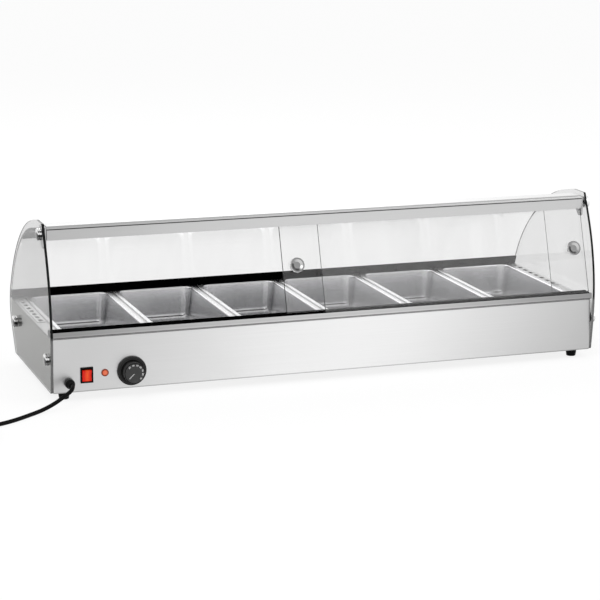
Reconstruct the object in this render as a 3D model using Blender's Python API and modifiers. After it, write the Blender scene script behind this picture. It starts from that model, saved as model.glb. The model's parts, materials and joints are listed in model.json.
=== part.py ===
"""Heated display case with curved glass, sliding doors and six food pans.

Lengths are metres. The case frame has X along the length from the middle, Y away from
the operator from the front panel's face, and Z up from the housing's underside.
An empty carries that frame, so the whole case stands on its feet at world Z zero.
"""
import bmesh
import bpy
import numpy as np
from math import atan2, cos, inf, pi, radians, sin, sqrt, tan
from mathutils import Matrix, Vector

# Housing
HOUSING_HEIGHT = 0.1077
SHEET = 0.001
END_SHEET = 0.0012
FLANGE = 0.012
BEND_RADIUS = 0.002
FIT_GAP = 0.0003
REAR_REVEAL = 0.003
BOTTOM_SHEET = 0.0012
BOTTOM_UPSTAND = 0.012
DECK_FRONT = 0.0003
OVERRUN = 0.004

# Front sill and lower door track
SILL_PROUD = 0.005
SILL_DEPTH = 0.034
SILL_RISE = 0.012
SILL_REAR_RISE = 0.009
TRACK_FLOOR_RISE = 0.005

# Side glass outline. A rise is above the deck, a drop is below the case's top.
CHAMBER_HEIGHT = 0.215
GLASS = 0.005
GLASS_STANDOFF = 0.001
FRONT_FOOT_Y = 0.001
BULGE_Y = -0.0182
BULGE_RISE = 0.0634
BULGE_RADIUS = 0.420
TOP_FRONT_BEHIND_RAIL = 0.003
TOP_FRONT_RADIUS = 0.004
TOP_REAR_BEYOND_RAIL = 0.0108
TOP_REAR_RADIUS = 0.0645
SHOULDER_BEFORE_PANS = 0.0713
SHOULDER_DROP = 0.0376
SHOULDER_RADIUS = 0.343
HIP_BEYOND_PANS = 0.0288
HIP_BELOW_DECK = 0.0159
HIP_RADIUS = 0.082
REAR_FOOT_BEFORE_PANS = 0.0305
FOOT_CORNER_RADIUS = 0.003
GLASS_FOOT_Z = 0.001

# Curved customer glass and the channel that it stands in
CURVE_TOP_BEYOND_RAIL = 0.002
CURVE_TOP_DROP = 0.015
CURVE_CORNER_BEFORE_PANS = 0.0555
CURVE_CORNER_DROP = 0.054
CURVE_RADIUS = 0.290
CURVE_FOOT_BEYOND_PANS = 0.0146
CURVE_FOOT_RISE = 0.0021
CHANNEL_RISE = 0.018
CHANNEL_INNER_WALL = 0.003
CHANNEL_OUTER_WALL = 0.0016
CHANNEL_SLACK = 0.0004
CHANNEL_FLOOR = 0.0015

# Sliding doors
DOOR_TILT = radians(17.6)
DOOR_OVERLAP = 0.031
DOOR_PANE = 0.004
DOOR_REFERENCE_Y = 0.0031
DOOR_PITCH = 0.015
DOOR_TOP_GAP = 0.002
DOOR_CORNER = 0.003
SLOT_CLEARANCE = 0.0008
LEFT_DOOR_OPEN = 0.474
DOOR_END_GAP = 0.0005
DOOR_KNOB_INSET = 0.028
DOOR_KNOB_RISE = 0.101
DOOR_KNOB_RADIUS = 0.015
DOOR_KNOB_PROUD = 0.010
DOOR_KNOB_WAIST = 0.0085
DOOR_SCREW_RADIUS = 0.004
DOOR_SCREW_CLEARANCE = 0.0005
DOOR_WASHER_RADIUS = 0.008
DOOR_WASHER = 0.003

# Top rail
RAIL_FRONT_LEDGE = 0.010
RAIL_BACK_LEDGE = 0.0084
RAIL_UNDERSIDE_DROP = 0.033
RAIL_FACE_DROP = 0.013
RAIL_GROOVE = 0.0015
RAIL_CROWN_DROP = 0.0055
RAIL_CROWN_RADIUS = 0.006
RAIL_LIP = 0.012
RAIL_SLOT_DROP = 0.021
RAIL_END_INSET = 0.0033

# Rail brackets and glass stand-offs
BRACKET = 0.003
LOBE_DROP = 0.050
LOBE_RADIUS = 0.009
STANDOFF_RADIUS = 0.012
STANDOFF_CAP = 0.009
STANDOFF_EDGE = 0.001
SHANK_RADIUS = 0.004
SHANK_CLEARANCE = 0.0005
SHANK_REACH = 0.006
TOP_STANDOFF_BEHIND_RAIL = 0.010
TOP_STANDOFF_DROP = 0.021
FRONT_STANDOFF_Y = 0.013
FRONT_STANDOFF_BELOW_DECK = 0.042
REAR_STANDOFF_INSET = 0.026
REAR_STANDOFF_BELOW_DECK = 0.034

# Food pans, six of the one-third size
PAN_COUNT = 6
PAN_WIDTH = 0.176
PAN_LENGTH = 0.325
PAN_DEPTH = 0.065
PAN_SHEET = 0.0008
PAN_GAP = 0.007
PAN_FRONT_Y = 0.0445
PAN_RIM = 0.0095
PAN_RIM_DROP = 0.002
PAN_TAPER = 0.0075
PAN_RIM_CORNER = 0.012
PAN_CORNER = 0.024
PAN_SHOULDER = 0.003
PAN_FLOOR_ROUND = 0.012
PAN_SEAT = 0.007
CROSSBAR_WIDTH = 0.018
CROSSBAR_WEB = 0.010
CROSSBAR_DEPTH = 0.010
CROSSBAR_TONGUE = 0.006

# Vent strips at the ends of the deck
VENT_INSET = 0.0035
VENT_WIDTH = 0.018
VENT_TO_PAN = 0.002
VENT_SHEET = 0.0012
VENT_FRONT_Y = 0.140
VENT_LENGTH = 0.226
VENT_HOLES = 8
VENT_HOLE_PITCH = 0.028
VENT_HOLE_RADIUS = 0.003
VENT_SLOT_WIDTH = 0.008

# Heating
TRAY_HEIGHT = 0.012
TRAY_FRONT_Y = 0.075
TRAY_BEFORE_PANS = 0.0445
TRAY_END_INSET = 0.069
HEATER_TUBE_RADIUS = 0.004
HEATER_INNER_X = 0.025
HEATER_END_INSET = 0.020
HEATER_SIDE_INSET = 0.035
HEATER_RUN_PITCH = 0.060
HEATER_RUNS = 4
BAFFLE_TO_TONGUE = 0.0018
BAFFLE_LENGTH = 0.230
BAFFLE_FOOT = 0.010
SENSOR_BULB_RADIUS = 0.003
SENSOR_BULB_LENGTH = 0.090
CAPILLARY_RADIUS = 0.001
CAPILLARY_HOLE_RADIUS = 0.003
CAPILLARY_Z = 0.030

# Controls on the front panel, from the housing's left end
SWITCH_X = 0.065
SWITCH_Z = 0.033
SWITCH_WIDTH = 0.025
SWITCH_HEIGHT = 0.031
SWITCH_BEZEL = 0.002
SWITCH_DEPTH = 0.024
SWITCH_FRAME = 0.003
SWITCH_BODY_STEP = 0.0015
ROCKER_PIVOT_Y = 0.006
ROCKER_PROUD = 0.0045
ROCKER_FACE_ANGLE = radians(7.0)
ROCKER_SWING = radians(14.0)
ROCKER_GAP = 0.0005
ROCKER_BACK_RADIUS = 0.0075
LAMP_X = 0.101
LAMP_Z = 0.035
LAMP_RADIUS = 0.0072
LAMP_BEZEL = 0.002
LAMP_WALL = 0.0018
LAMP_BODY_RADIUS = 0.0058
LAMP_DEPTH = 0.020
LENS_PROUD = 0.004
KNOB_X = 0.154
KNOB_Z = 0.035
KNOB_SKIRT_RADIUS = 0.029
KNOB_SKIRT = 0.004
KNOB_HUB_RADIUS = 0.0225
KNOB_FACE_RADIUS = 0.0205
KNOB_EDGE = 0.0012
KNOB_PROUD = 0.025
KNOB_GAP = 0.0008
KNOB_BORE_DEPTH = 0.015
SHAFT_RADIUS = 0.003
SHAFT_LENGTH = 0.014
THERMOSTAT_RADIUS = 0.020
THERMOSTAT_DEPTH = 0.024
PANEL_HOLE_CLEARANCE = 0.0005
TERMINAL_LENGTH = 0.048
TERMINAL_DEPTH = 0.020
TERMINAL_HEIGHT = 0.013
TERMINAL_OFFSET = 0.062
TERMINAL_Y = 0.012
TERMINAL_BEVEL = 0.0015

# Cord gland, cord and plug
GLAND_X = 0.030
GLAND_Z = 0.020
GLAND_RADIUS = 0.0095
GLAND_FLANGE = 0.004
GLAND_NOSE_RADIUS = 0.0062
GLAND_PROUD = 0.024
GLAND_BODY_RADIUS = 0.006
GLAND_NUT_RADIUS = 0.009
GLAND_NUT = 0.005
GLAND_TAIL = 0.010
CORD_RADIUS = 0.004
CORD_STEP = 0.016
CORD_DROP_POINTS = (
    (0.0235, -0.0435, 0.0155),
    (0.0085, -0.0500, 0.0075),
    (-0.0100, -0.0530, -0.0030),
    (-0.0320, -0.0590, -0.0110),
)
CORD_FLOOR_POINTS = (
    (-0.0560, -0.0730),
    (-0.0780, -0.0905),
    (-0.1040, -0.1090),
    (-0.1290, -0.1220),
    (-0.1600, -0.1310),
)
COIL_TURNS_EACH_LAYER = 2.25
COIL_TURN_PITCH = 0.0086
COIL_LAYER_PITCH = 0.0088
COIL_OUTER_RADIUS = 0.0526
COIL_POINTS_A_TURN = 24
COIL_CENTRE_X = -0.205
COIL_CENTRE_Y = -0.187
COIL_TAIL = 0.056
COIL_TAIL_SHARES = (0.35, 0.65, 0.857, 1.0)
PLUG_RADIUS = 0.018
PLUG_LENGTH = 0.036
PLUG_NECK_RADIUS = 0.007
PLUG_NECK_LENGTH = 0.020
PLUG_WAIST = 0.006
PIN_RADIUS = 0.0024
PIN_LENGTH = 0.019
PIN_SPREAD = 0.0095

# Feet
FOOT_RADIUS = 0.011
FOOT_HEIGHT = 0.018
FOOT_TAPER = 0.0015
FOOT_INSET_X = 0.026
FOOT_INSET_Y = 0.030
FOOT_STEM_RADIUS = 0.003
FOOT_STEM_LENGTH = 0.006

# Facets
ARC_STEP = radians(6.0)
ROUND_STEPS = 16
KNOB_STEPS = 28
HOLE_STEPS = 10
PANEL_HOLE_STEPS = 22
PAN_CORNER_STEPS = 3
PAN_ROUND_STEPS = 2
HEATER_BEND_STEPS = 8
ROCKER_BACK_STEPS = 6
LENS_STEPS = 4
CORD_SAMPLES = 24
LEAST_MITRE_SHARE = 0.2
WELD = 0.00001

# Lengths that follow: the pans and the vent strips beside them set the case's length
PAN_PITCH = PAN_WIDTH + PAN_GAP
PAN_SPAN = (PAN_COUNT - 1) * PAN_PITCH + PAN_WIDTH
HALF_LENGTH = PAN_SPAN / 2 + VENT_TO_PAN + VENT_WIDTH + VENT_INSET
LEFT_END = -HALF_LENGTH
DOOR_END_INSET = BRACKET + DOOR_END_GAP
DOOR_WIDTH = HALF_LENGTH - DOOR_END_INSET + DOOR_OVERLAP / 2
TRAY_HALF_LENGTH = HALF_LENGTH - TRAY_END_INSET
HEATER_OUTER_X = TRAY_HALF_LENGTH - HEATER_END_INSET

# Heights that follow, from the housing's underside
FLOOR_Z = -FOOT_HEIGHT
BOTTOM_TOP = SHEET + FIT_GAP + BOTTOM_SHEET
TRAY_TOP = BOTTOM_TOP + FIT_GAP + TRAY_HEIGHT
DECK_TOP = HOUSING_HEIGHT + FIT_GAP + SHEET
PAN_RIM_FOOT = DECK_TOP + FIT_GAP
SILL_BASE = DECK_TOP + FIT_GAP
SILL_TOP = DECK_TOP + SILL_RISE
TRACK_FLOOR = DECK_TOP + TRACK_FLOOR_RISE
CHANNEL_SEAT = DECK_TOP + FIT_GAP + CHANNEL_FLOOR
CHANNEL_TOP = DECK_TOP + CHANNEL_RISE
CURVE_FOOT_Z = CHANNEL_SEAT + FIT_GAP + CURVE_FOOT_RISE
CASE_TOP = DECK_TOP + CHAMBER_HEIGHT
RAIL_UNDERSIDE = CASE_TOP - RAIL_UNDERSIDE_DROP
RAIL_SLOT_TOP = CASE_TOP - RAIL_SLOT_DROP
RAIL_FACE_TOP = CASE_TOP - RAIL_FACE_DROP
RAIL_CROWN_Z = CASE_TOP - RAIL_CROWN_DROP
DOOR_TOP_Z = RAIL_SLOT_TOP - DOOR_TOP_GAP
DOOR_KNOB_Z = DECK_TOP + DOOR_KNOB_RISE
TOP_STANDOFF_Z = CASE_TOP - TOP_STANDOFF_DROP

# Places that follow, from the front panel's face
DOOR_SLOPE = tan(DOOR_TILT)
PAN_REAR_Y = PAN_FRONT_Y + PAN_LENGTH
REAR_FOOT_Y = PAN_REAR_Y - REAR_FOOT_BEFORE_PANS
RAIL_FRONT_Y = DOOR_REFERENCE_Y + (RAIL_UNDERSIDE - SILL_TOP) * DOOR_SLOPE - RAIL_FRONT_LEDGE
RAIL_SLOTS_Y = DOOR_REFERENCE_Y + DOOR_PITCH / cos(DOOR_TILT)
RAIL_BACK_Y = RAIL_SLOTS_Y + (RAIL_SLOT_TOP - SILL_TOP) * DOOR_SLOPE + RAIL_BACK_LEDGE
TOP_STANDOFF_Y = RAIL_FRONT_Y + TOP_STANDOFF_BEHIND_RAIL
CURVE_FOOT_Y = PAN_REAR_Y + CURVE_FOOT_BEYOND_PANS
CURVE_CORNER_Y = PAN_REAR_Y - CURVE_CORNER_BEFORE_PANS
CURVE_CORNER_Z = CASE_TOP - CURVE_CORNER_DROP
SHOULDER = (PAN_REAR_Y - SHOULDER_BEFORE_PANS, CASE_TOP - SHOULDER_DROP)
HIP = (PAN_REAR_Y + HIP_BEYOND_PANS, DECK_TOP - HIP_BELOW_DECK)
TRAY_REAR_Y = PAN_REAR_Y - TRAY_BEFORE_PANS
HEATER_FRONT_Y = TRAY_FRONT_Y + HEATER_SIDE_INSET
CROSSBAR_FRONT_Y = PAN_FRONT_Y + PAN_SEAT + FIT_GAP
BAFFLE_Y = CROSSBAR_FRONT_Y - CROSSBAR_TONGUE - BAFFLE_TO_TONGUE
KNOB_FRONT_REACH = KNOB_GAP + KNOB_PROUD

parts = None
cutters = None
case_frame = None


def clear_scene():
    for obj in list(bpy.data.objects):
        bpy.data.objects.remove(obj, do_unlink=True)


def make_collections():
    global parts, cutters
    parts = bpy.data.collections.new("heated_display_case")
    cutters = bpy.data.collections.new("cutters")
    bpy.context.scene.collection.children.link(parts)
    bpy.context.scene.collection.children.link(cutters)


def material(name, colour, roughness, metallic=0.0, alpha=1.0, transmission=0.0, glow=0.0):
    mat = bpy.data.materials.new(name)
    mat.use_nodes = True
    shader = mat.node_tree.nodes["Principled BSDF"]
    shader.inputs["Base Color"].default_value = (*colour, 1.0)
    shader.inputs["Roughness"].default_value = roughness
    shader.inputs["Metallic"].default_value = metallic
    shader.inputs["Alpha"].default_value = alpha
    shader.inputs["Transmission Weight"].default_value = transmission
    if glow:
        shader.inputs["Emission Color"].default_value = (*colour, 1.0)
        shader.inputs["Emission Strength"].default_value = glow
    mat.diffuse_color = (*colour, alpha)
    return mat


def make_materials():
    return {
        "brushed_steel": material("brushed_steel", (0.62, 0.62, 0.62), 0.34, 1.0),
        "pan_steel": material("pan_steel", (0.66, 0.66, 0.66), 0.26, 1.0),
        "rail_aluminium": material("rail_aluminium", (0.55, 0.55, 0.56), 0.38, 1.0),
        "chrome": material("chrome", (0.80, 0.80, 0.81), 0.08, 1.0),
        "clear_glass": material("clear_glass", (0.90, 0.93, 0.92), 0.02, 0.0, 0.30, 0.9),
        "black_plastic": material("black_plastic", (0.02, 0.02, 0.02), 0.42),
        "black_rubber": material("black_rubber", (0.025, 0.025, 0.025), 0.70),
        "red_rocker": material("red_rocker", (0.85, 0.10, 0.05), 0.30, glow=0.6),
        "red_lens": material("red_lens", (0.80, 0.16, 0.08), 0.20, glow=0.3),
        "heater_alloy": material("heater_alloy", (0.28, 0.27, 0.25), 0.45, 1.0),
        "copper": material("copper", (0.72, 0.43, 0.30), 0.35, 1.0),
        "white_ceramic": material("white_ceramic", (0.80, 0.79, 0.75), 0.55),
    }


def add_object(name, mesh, mat, parent=None, location=(0, 0, 0), rotation=(0, 0, 0), cutter=False):
    obj = bpy.data.objects.new(name, mesh)
    (cutters if cutter else parts).objects.link(obj)
    if cutter:
        obj.hide_render = True
        obj.display_type = "WIRE"
    else:
        mesh.materials.append(mat)
    obj.parent = parent or case_frame
    obj.location = location
    obj.rotation_euler = rotation
    return obj


def add_empty(name, location, parent=None):
    empty = bpy.data.objects.new(name, None)
    parts.objects.link(empty)
    empty.parent = parent
    empty.location = location
    return empty


def shade(mesh):
    mesh.shade_smooth()
    mesh.set_sharp_from_angle(angle=radians(35))


def finish_bmesh(bm, name):
    bmesh.ops.remove_doubles(bm, verts=bm.verts, dist=WELD)
    bmesh.ops.recalc_face_normals(bm, faces=bm.faces)
    mesh = bpy.data.meshes.new(name)
    bm.to_mesh(mesh)
    bm.free()
    shade(mesh)
    return mesh


def rounded_outline(corners, closed=True):
    """Points along a polygon whose corners, (a, b, radius), are rounded with arcs."""
    points = []
    count = len(corners)
    for index, (a, b, radius) in enumerate(corners):
        here = Vector((a, b))
        at_end = not closed and index in (0, count - 1)
        if at_end or radius == 0:
            points.append(here)
            continue
        before = (Vector(corners[index - 1][:2]) - here).normalized()
        after = (Vector(corners[(index + 1) % count][:2]) - here).normalized()
        opening = before.angle(after)
        reach = radius / tan(opening / 2)
        centre = here + (before + after).normalized() * radius / sin(opening / 2)
        start = here + before * reach - centre
        end = here + after * reach - centre
        turn = atan2(start.x * end.y - start.y * end.x, start.dot(end))
        steps = max(2, round(abs(turn) / ARC_STEP))
        for step in range(steps + 1):
            angle = atan2(start.y, start.x) + turn * step / steps
            points.append(centre + Vector((cos(angle), sin(angle))) * radius)
    return points


def offset_points(points, distance):
    """An open run of points moved sideways, to the right of its direction."""
    moved = []
    for index, point in enumerate(points):
        before = (point - points[index - 1]).normalized() if index else None
        after = (points[index + 1] - point).normalized() if index < len(points) - 1 else None
        if before is None:
            before = after
        if after is None:
            after = before
        along = (before + after).normalized()
        side = Vector((along.y, -along.x))
        moved.append(point + side * distance / max(along.dot(after), LEAST_MITRE_SHARE))
    return moved


def between_heights(points, high, low):
    """The stretch of a falling run of points between two heights, with its ends made exact."""
    kept = []
    for first, second in zip(points, points[1:]):
        for height in (high, low):
            if (first.y - height) * (second.y - height) < 0:
                share = (first.y - height) / (first.y - second.y)
                kept.append(first.lerp(second, share))
        if low < second.y < high:
            kept.append(second)
    kept.sort(key=lambda point: -point.y)
    return kept


PLANES = {
    "YZ": Matrix(((0, 0, 1, 0), (1, 0, 0, 0), (0, 1, 0, 0), (0, 0, 0, 1))),
    "XZ": Matrix(((1, 0, 0, 0), (0, 0, -1, 0), (0, 1, 0, 0), (0, 0, 0, 1))),
    "XY": Matrix.Identity(4),
}


def outline_mesh(name, outlines, low, high, plane="YZ"):
    """A flat outline with holes, filled as a 2D curve and given its thickness from low to high."""
    curve = bpy.data.curves.new(name, "CURVE")
    curve.dimensions = "2D"
    curve.fill_mode = "BOTH"
    curve.extrude = (high - low) / 2
    for outline in outlines:
        spline = curve.splines.new("POLY")
        spline.points.add(len(outline) - 1)
        for point, (a, b) in zip(spline.points, outline):
            point.co = (a, b, 0, 1)
        spline.use_cyclic_u = True
    mesh = curve_to_mesh(curve, name)
    mesh.transform(PLANES[plane] @ Matrix.Translation((0, 0, (low + high) / 2)))
    bm = bmesh.new()
    bm.from_mesh(mesh)
    bpy.data.meshes.remove(mesh)
    return finish_bmesh(bm, name)


def curve_to_mesh(curve, name):
    """The evaluated mesh of a curve, with its caps welded on. The curve is removed."""
    holder = bpy.data.objects.new(name + "_curve", curve)
    cutters.objects.link(holder)
    evaluated = holder.evaluated_get(bpy.context.evaluated_depsgraph_get())
    mesh = bpy.data.meshes.new_from_object(evaluated)
    bpy.data.objects.remove(holder, do_unlink=True)
    bpy.data.curves.remove(curve)
    bm = bmesh.new()
    bm.from_mesh(mesh)
    bmesh.ops.remove_doubles(bm, verts=bm.verts, dist=WELD)
    bm.to_mesh(mesh)
    bm.free()
    return mesh


def folded_sheet(name, points, start_x, end_x, thickness, mat):
    """A sheet folded along points in Y and Z, run along X. Its thickness goes to the right of the run."""
    bm = bmesh.new()
    starts = [bm.verts.new((start_x, y, z)) for y, z in points]
    ends = [bm.verts.new((end_x, y, z)) for y, z in points]
    for index in range(len(points) - 1):
        bm.faces.new((starts[index], ends[index], ends[index + 1], starts[index + 1]))
    mesh = bpy.data.meshes.new(name)
    bm.to_mesh(mesh)
    bm.free()
    shade(mesh)
    obj = add_object(name, mesh, mat)
    wall = obj.modifiers.new("wall", "SOLIDIFY")
    wall.thickness = thickness
    wall.offset = -1.0
    wall.use_even_offset = True
    return obj


def box_mesh(name, low, high, bevel=0.0):
    """A box between two corners. A bevel rounds its edges."""
    size = Vector(high) - Vector(low)
    middle = (Vector(high) + Vector(low)) / 2
    bm = bmesh.new()
    bmesh.ops.create_cube(bm, size=1.0, matrix=Matrix.Translation(middle) @ Matrix.Diagonal((*size, 1.0)))
    if bevel:
        bmesh.ops.bevel(bm, geom=bm.edges, offset=bevel, segments=2, profile=0.5, affect="EDGES")
    return finish_bmesh(bm, name)


def turned(name, profile, mat, location, rotation=(0, 0, 0), steps=ROUND_STEPS, parent=None):
    """A turned piece: a profile of (radius, height) points, from its top on the axis to its bottom."""
    bm = bmesh.new()
    verts = [bm.verts.new((radius, 0, height)) for radius, height in profile]
    for first, second in zip(verts, verts[1:]):
        bm.edges.new((first, second))
    mesh = bpy.data.meshes.new(name)
    bm.to_mesh(mesh)
    bm.free()
    obj = add_object(name, mesh, mat, parent, location, rotation)
    lathe = obj.modifiers.new("lathe", "SCREW")
    lathe.steps = steps
    lathe.render_steps = steps
    lathe.use_merge_vertices = True
    lathe.merge_threshold = WELD
    lathe.use_smooth_shade = True
    return obj


def rod(name, radius, low, high, location, rotation=(0, 0, 0), steps=ROUND_STEPS, parent=None):
    """A cylinder that cuts or joins another piece, from low to high on its own Z."""
    bm = bmesh.new()
    middle = Matrix.Translation((0, 0, (high + low) / 2))
    bmesh.ops.create_cone(bm, cap_ends=True, segments=steps, radius1=radius, radius2=radius,
                          depth=high - low, matrix=middle)
    return add_object(name, finish_bmesh(bm, name), None, parent, location, rotation, cutter=True)


def block(name, low, high, parent=None, location=(0, 0, 0)):
    """A box that cuts or joins another piece."""
    return add_object(name, box_mesh(name, low, high), None, parent, location, cutter=True)


def boolean(obj, other, operation="DIFFERENCE"):
    step = obj.modifiers.new(operation.lower(), "BOOLEAN")
    step.object = other
    step.operation = operation
    step.solver = "EXACT"


TOWARDS_OPERATOR = (pi / 2, 0, 0)
TOWARDS_LEFT = (0, -pi / 2, 0)
TOWARDS_RIGHT = (0, pi / 2, 0)


def side_glass_outline():
    return rounded_outline([
        (FRONT_FOOT_Y, GLASS_FOOT_Z, FOOT_CORNER_RADIUS),
        (BULGE_Y, DECK_TOP + BULGE_RISE, BULGE_RADIUS),
        (RAIL_FRONT_Y + TOP_FRONT_BEHIND_RAIL, CASE_TOP, TOP_FRONT_RADIUS),
        (RAIL_BACK_Y + TOP_REAR_BEYOND_RAIL, CASE_TOP, TOP_REAR_RADIUS),
        (*SHOULDER, SHOULDER_RADIUS),
        (*HIP, HIP_RADIUS),
        (REAR_FOOT_Y, GLASS_FOOT_Z, FOOT_CORNER_RADIUS),
    ])


def rear_curve(inset, high, low):
    """The customer side of the housing, inset from the side glass's edge, between two heights."""
    run = rounded_outline([(*SHOULDER, 0), (*HIP, HIP_RADIUS), (REAR_FOOT_Y, GLASS_FOOT_Z, 0)], closed=False)
    slope = (run[-1] - run[-2]).normalized()
    run.append(run[-1] + slope * FLANGE)
    return between_heights(offset_points(run, inset), high, low)


def track_y(track, z):
    """Where the middle of a door's pane is at a height. Track 0 is the outer one."""
    return DOOR_REFERENCE_Y + track * DOOR_PITCH / cos(DOOR_TILT) + (z - SILL_TOP) * DOOR_SLOPE


def slot_points(track, mouth_z, end_z):
    """The four points of a door slot, from its front mouth corner round its end."""
    half = (DOOR_PANE / 2 + SLOT_CLEARANCE) / cos(DOOR_TILT)
    return [
        (track_y(track, mouth_z) - half, mouth_z),
        (track_y(track, end_z) - half, end_z),
        (track_y(track, end_z) + half, end_z),
        (track_y(track, mouth_z) + half, mouth_z),
    ]


def make_housing(mats):
    steel = mats["brushed_steel"]
    front = rounded_outline([
        (FLANGE, 0, 0),
        (0, 0, BEND_RADIUS),
        (0, HOUSING_HEIGHT, BEND_RADIUS),
        (FLANGE, HOUSING_HEIGHT, 0),
    ], closed=False)
    panel = folded_sheet("front_panel", front, -HALF_LENGTH, HALF_LENGTH, SHEET, steel)
    hole = PANEL_HOLE_CLEARANCE
    holes = (
        (GLAND_X, GLAND_Z, GLAND_BODY_RADIUS + hole),
        (LAMP_X, LAMP_Z, LAMP_BODY_RADIUS + hole),
        (KNOB_X, KNOB_Z, SHAFT_RADIUS + hole),
    )
    bm = bmesh.new()
    for x, z, radius in holes:
        place = Matrix.Translation((LEFT_END + x, 0, z)) @ Matrix.Rotation(pi / 2, 4, "X")
        bmesh.ops.create_cone(bm, cap_ends=True, segments=PANEL_HOLE_STEPS, radius1=radius, radius2=radius,
                              depth=2 * OVERRUN, matrix=place)
    window_x = SWITCH_WIDTH - 2 * SWITCH_BODY_STEP + 2 * hole
    window_z = SWITCH_HEIGHT - 2 * SWITCH_BODY_STEP + 2 * hole
    window = Matrix.Diagonal((window_x, 2 * OVERRUN, window_z, 1.0))
    place = Matrix.Translation((LEFT_END + SWITCH_X, 0, SWITCH_Z))
    bmesh.ops.create_cube(bm, size=1.0, matrix=place @ window)
    boolean(panel, add_object("panel_openings", finish_bmesh(bm, "panel_openings"), None, cutter=True))
    curve = rear_curve(REAR_REVEAL, HOUSING_HEIGHT, 0)
    rear = [Vector((curve[0].x - FLANGE, HOUSING_HEIGHT))] + curve + [Vector((curve[-1].x - FLANGE, 0))]
    folded_sheet("rear_panel", rear, -HALF_LENGTH, HALF_LENGTH, SHEET, steel)
    wall_low = SHEET + FIT_GAP
    wall_high = HOUSING_HEIGHT - SHEET - FIT_GAP
    wall_curve = rear_curve(REAR_REVEAL + SHEET + FIT_GAP, wall_high, wall_low)
    wall = [(wall_low, wall_low), (wall_low, wall_high)] + [tuple(point) for point in wall_curve]
    hole = SHANK_RADIUS + FIT_GAP
    for side, inner in (("left", -1), ("right", 1)):
        span = sorted((inner * HALF_LENGTH, inner * (HALF_LENGTH - END_SHEET)))
        end_wall = add_object(f"end_wall_{side}", outline_mesh("end_wall", [wall], *span), steel)
        for place, y, z, _ in standoff_places()[1:]:
            boolean(end_wall, rod(f"end_wall_hole_{side}_{place}", hole, -OVERRUN, OVERRUN,
                                  (inner * HALF_LENGTH, y, z), TOWARDS_RIGHT))
    rear_edge = curve[-1].x - SHEET - 2 * FIT_GAP
    tray_end = HALF_LENGTH - END_SHEET - FIT_GAP
    floor_low = SHEET + FIT_GAP
    tray = [(-tray_end, floor_low + BOTTOM_UPSTAND), (-tray_end, floor_low), (tray_end, floor_low),
            (tray_end, floor_low + BOTTOM_UPSTAND), (tray_end - BOTTOM_SHEET, floor_low + BOTTOM_UPSTAND),
            (tray_end - BOTTOM_SHEET, BOTTOM_TOP), (BOTTOM_SHEET - tray_end, BOTTOM_TOP),
            (BOTTOM_SHEET - tray_end, floor_low + BOTTOM_UPSTAND)]
    plate = outline_mesh("bottom_plate", [tray], -rear_edge, -floor_low, "XZ")
    bottom = add_object("bottom_plate", plate, steel)
    for index, (x, y) in enumerate(foot_places()):
        boolean(bottom, rod(f"foot_hole_{index}", FOOT_STEM_RADIUS + PANEL_HOLE_CLEARANCE, -OVERRUN, OVERRUN,
                            (x, y, BOTTOM_TOP)))


def foot_places():
    rear_y = REAR_FOOT_Y - FOOT_INSET_Y
    return [(side * (HALF_LENGTH - FOOT_INSET_X), y) for y in (FOOT_INSET_Y, rear_y) for side in (-1, 1)]


def make_feet(mats):
    top = SHEET
    profile = [
        (0, top + FOOT_STEM_LENGTH),
        (FOOT_STEM_RADIUS, top + FOOT_STEM_LENGTH),
        (FOOT_STEM_RADIUS, top),
        (FOOT_RADIUS, top),
        (FOOT_RADIUS, -FOOT_HEIGHT / 2),
        (FOOT_RADIUS - FOOT_TAPER, -FOOT_HEIGHT),
        (0, -FOOT_HEIGHT),
    ]
    names = ("front_left", "front_right", "rear_left", "rear_right")
    for name, (x, y) in zip(names, foot_places()):
        turned(f"foot_{name}", profile, mats["black_rubber"], (x, y, 0))


def rectangle(low_a, low_b, high_a, high_b):
    return [(low_a, low_b), (high_a, low_b), (high_a, high_b), (low_a, high_b)]


def make_deck(mats):
    low = HOUSING_HEIGHT + FIT_GAP
    rear = rear_curve(REAR_REVEAL, HOUSING_HEIGHT, 0)[0].x
    half_open = PAN_SPAN / 2 - PAN_SEAT
    outline = rectangle(-HALF_LENGTH, DECK_FRONT, HALF_LENGTH, rear)
    opening = rectangle(-half_open, PAN_FRONT_Y + PAN_SEAT, half_open, PAN_REAR_Y - PAN_SEAT)
    slots = []
    middle = HALF_LENGTH - VENT_INSET - VENT_WIDTH / 2
    slot_half = (VENT_HOLES - 1) * VENT_HOLE_PITCH / 2 + VENT_HOLE_RADIUS
    slot_y = VENT_FRONT_Y + VENT_LENGTH / 2
    for side in (-1, 1):
        x = side * middle
        slots.append(rectangle(x - VENT_SLOT_WIDTH / 2, slot_y - slot_half,
                               x + VENT_SLOT_WIDTH / 2, slot_y + slot_half))
    mesh = outline_mesh("deck", [outline, opening, *slots], low, DECK_TOP, "XY")
    add_object("deck", mesh, mats["brushed_steel"])
    strip_low = DECK_TOP + FIT_GAP
    for side, sign in (("left", -1), ("right", 1)):
        centre = sign * middle
        edge = rectangle(centre - VENT_WIDTH / 2, VENT_FRONT_Y,
                         centre + VENT_WIDTH / 2, VENT_FRONT_Y + VENT_LENGTH)
        holes = []
        for index in range(VENT_HOLES):
            y = slot_y + (index - (VENT_HOLES - 1) / 2) * VENT_HOLE_PITCH
            angles = [2 * pi * step / HOLE_STEPS for step in range(HOLE_STEPS)]
            holes.append([(centre + VENT_HOLE_RADIUS * cos(angle), y + VENT_HOLE_RADIUS * sin(angle))
                          for angle in angles])
        strip = outline_mesh("vent_strip", [edge, *holes], strip_low, strip_low + VENT_SHEET, "XY")
        add_object(f"vent_strip_{side}", strip, mats["brushed_steel"])


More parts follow.
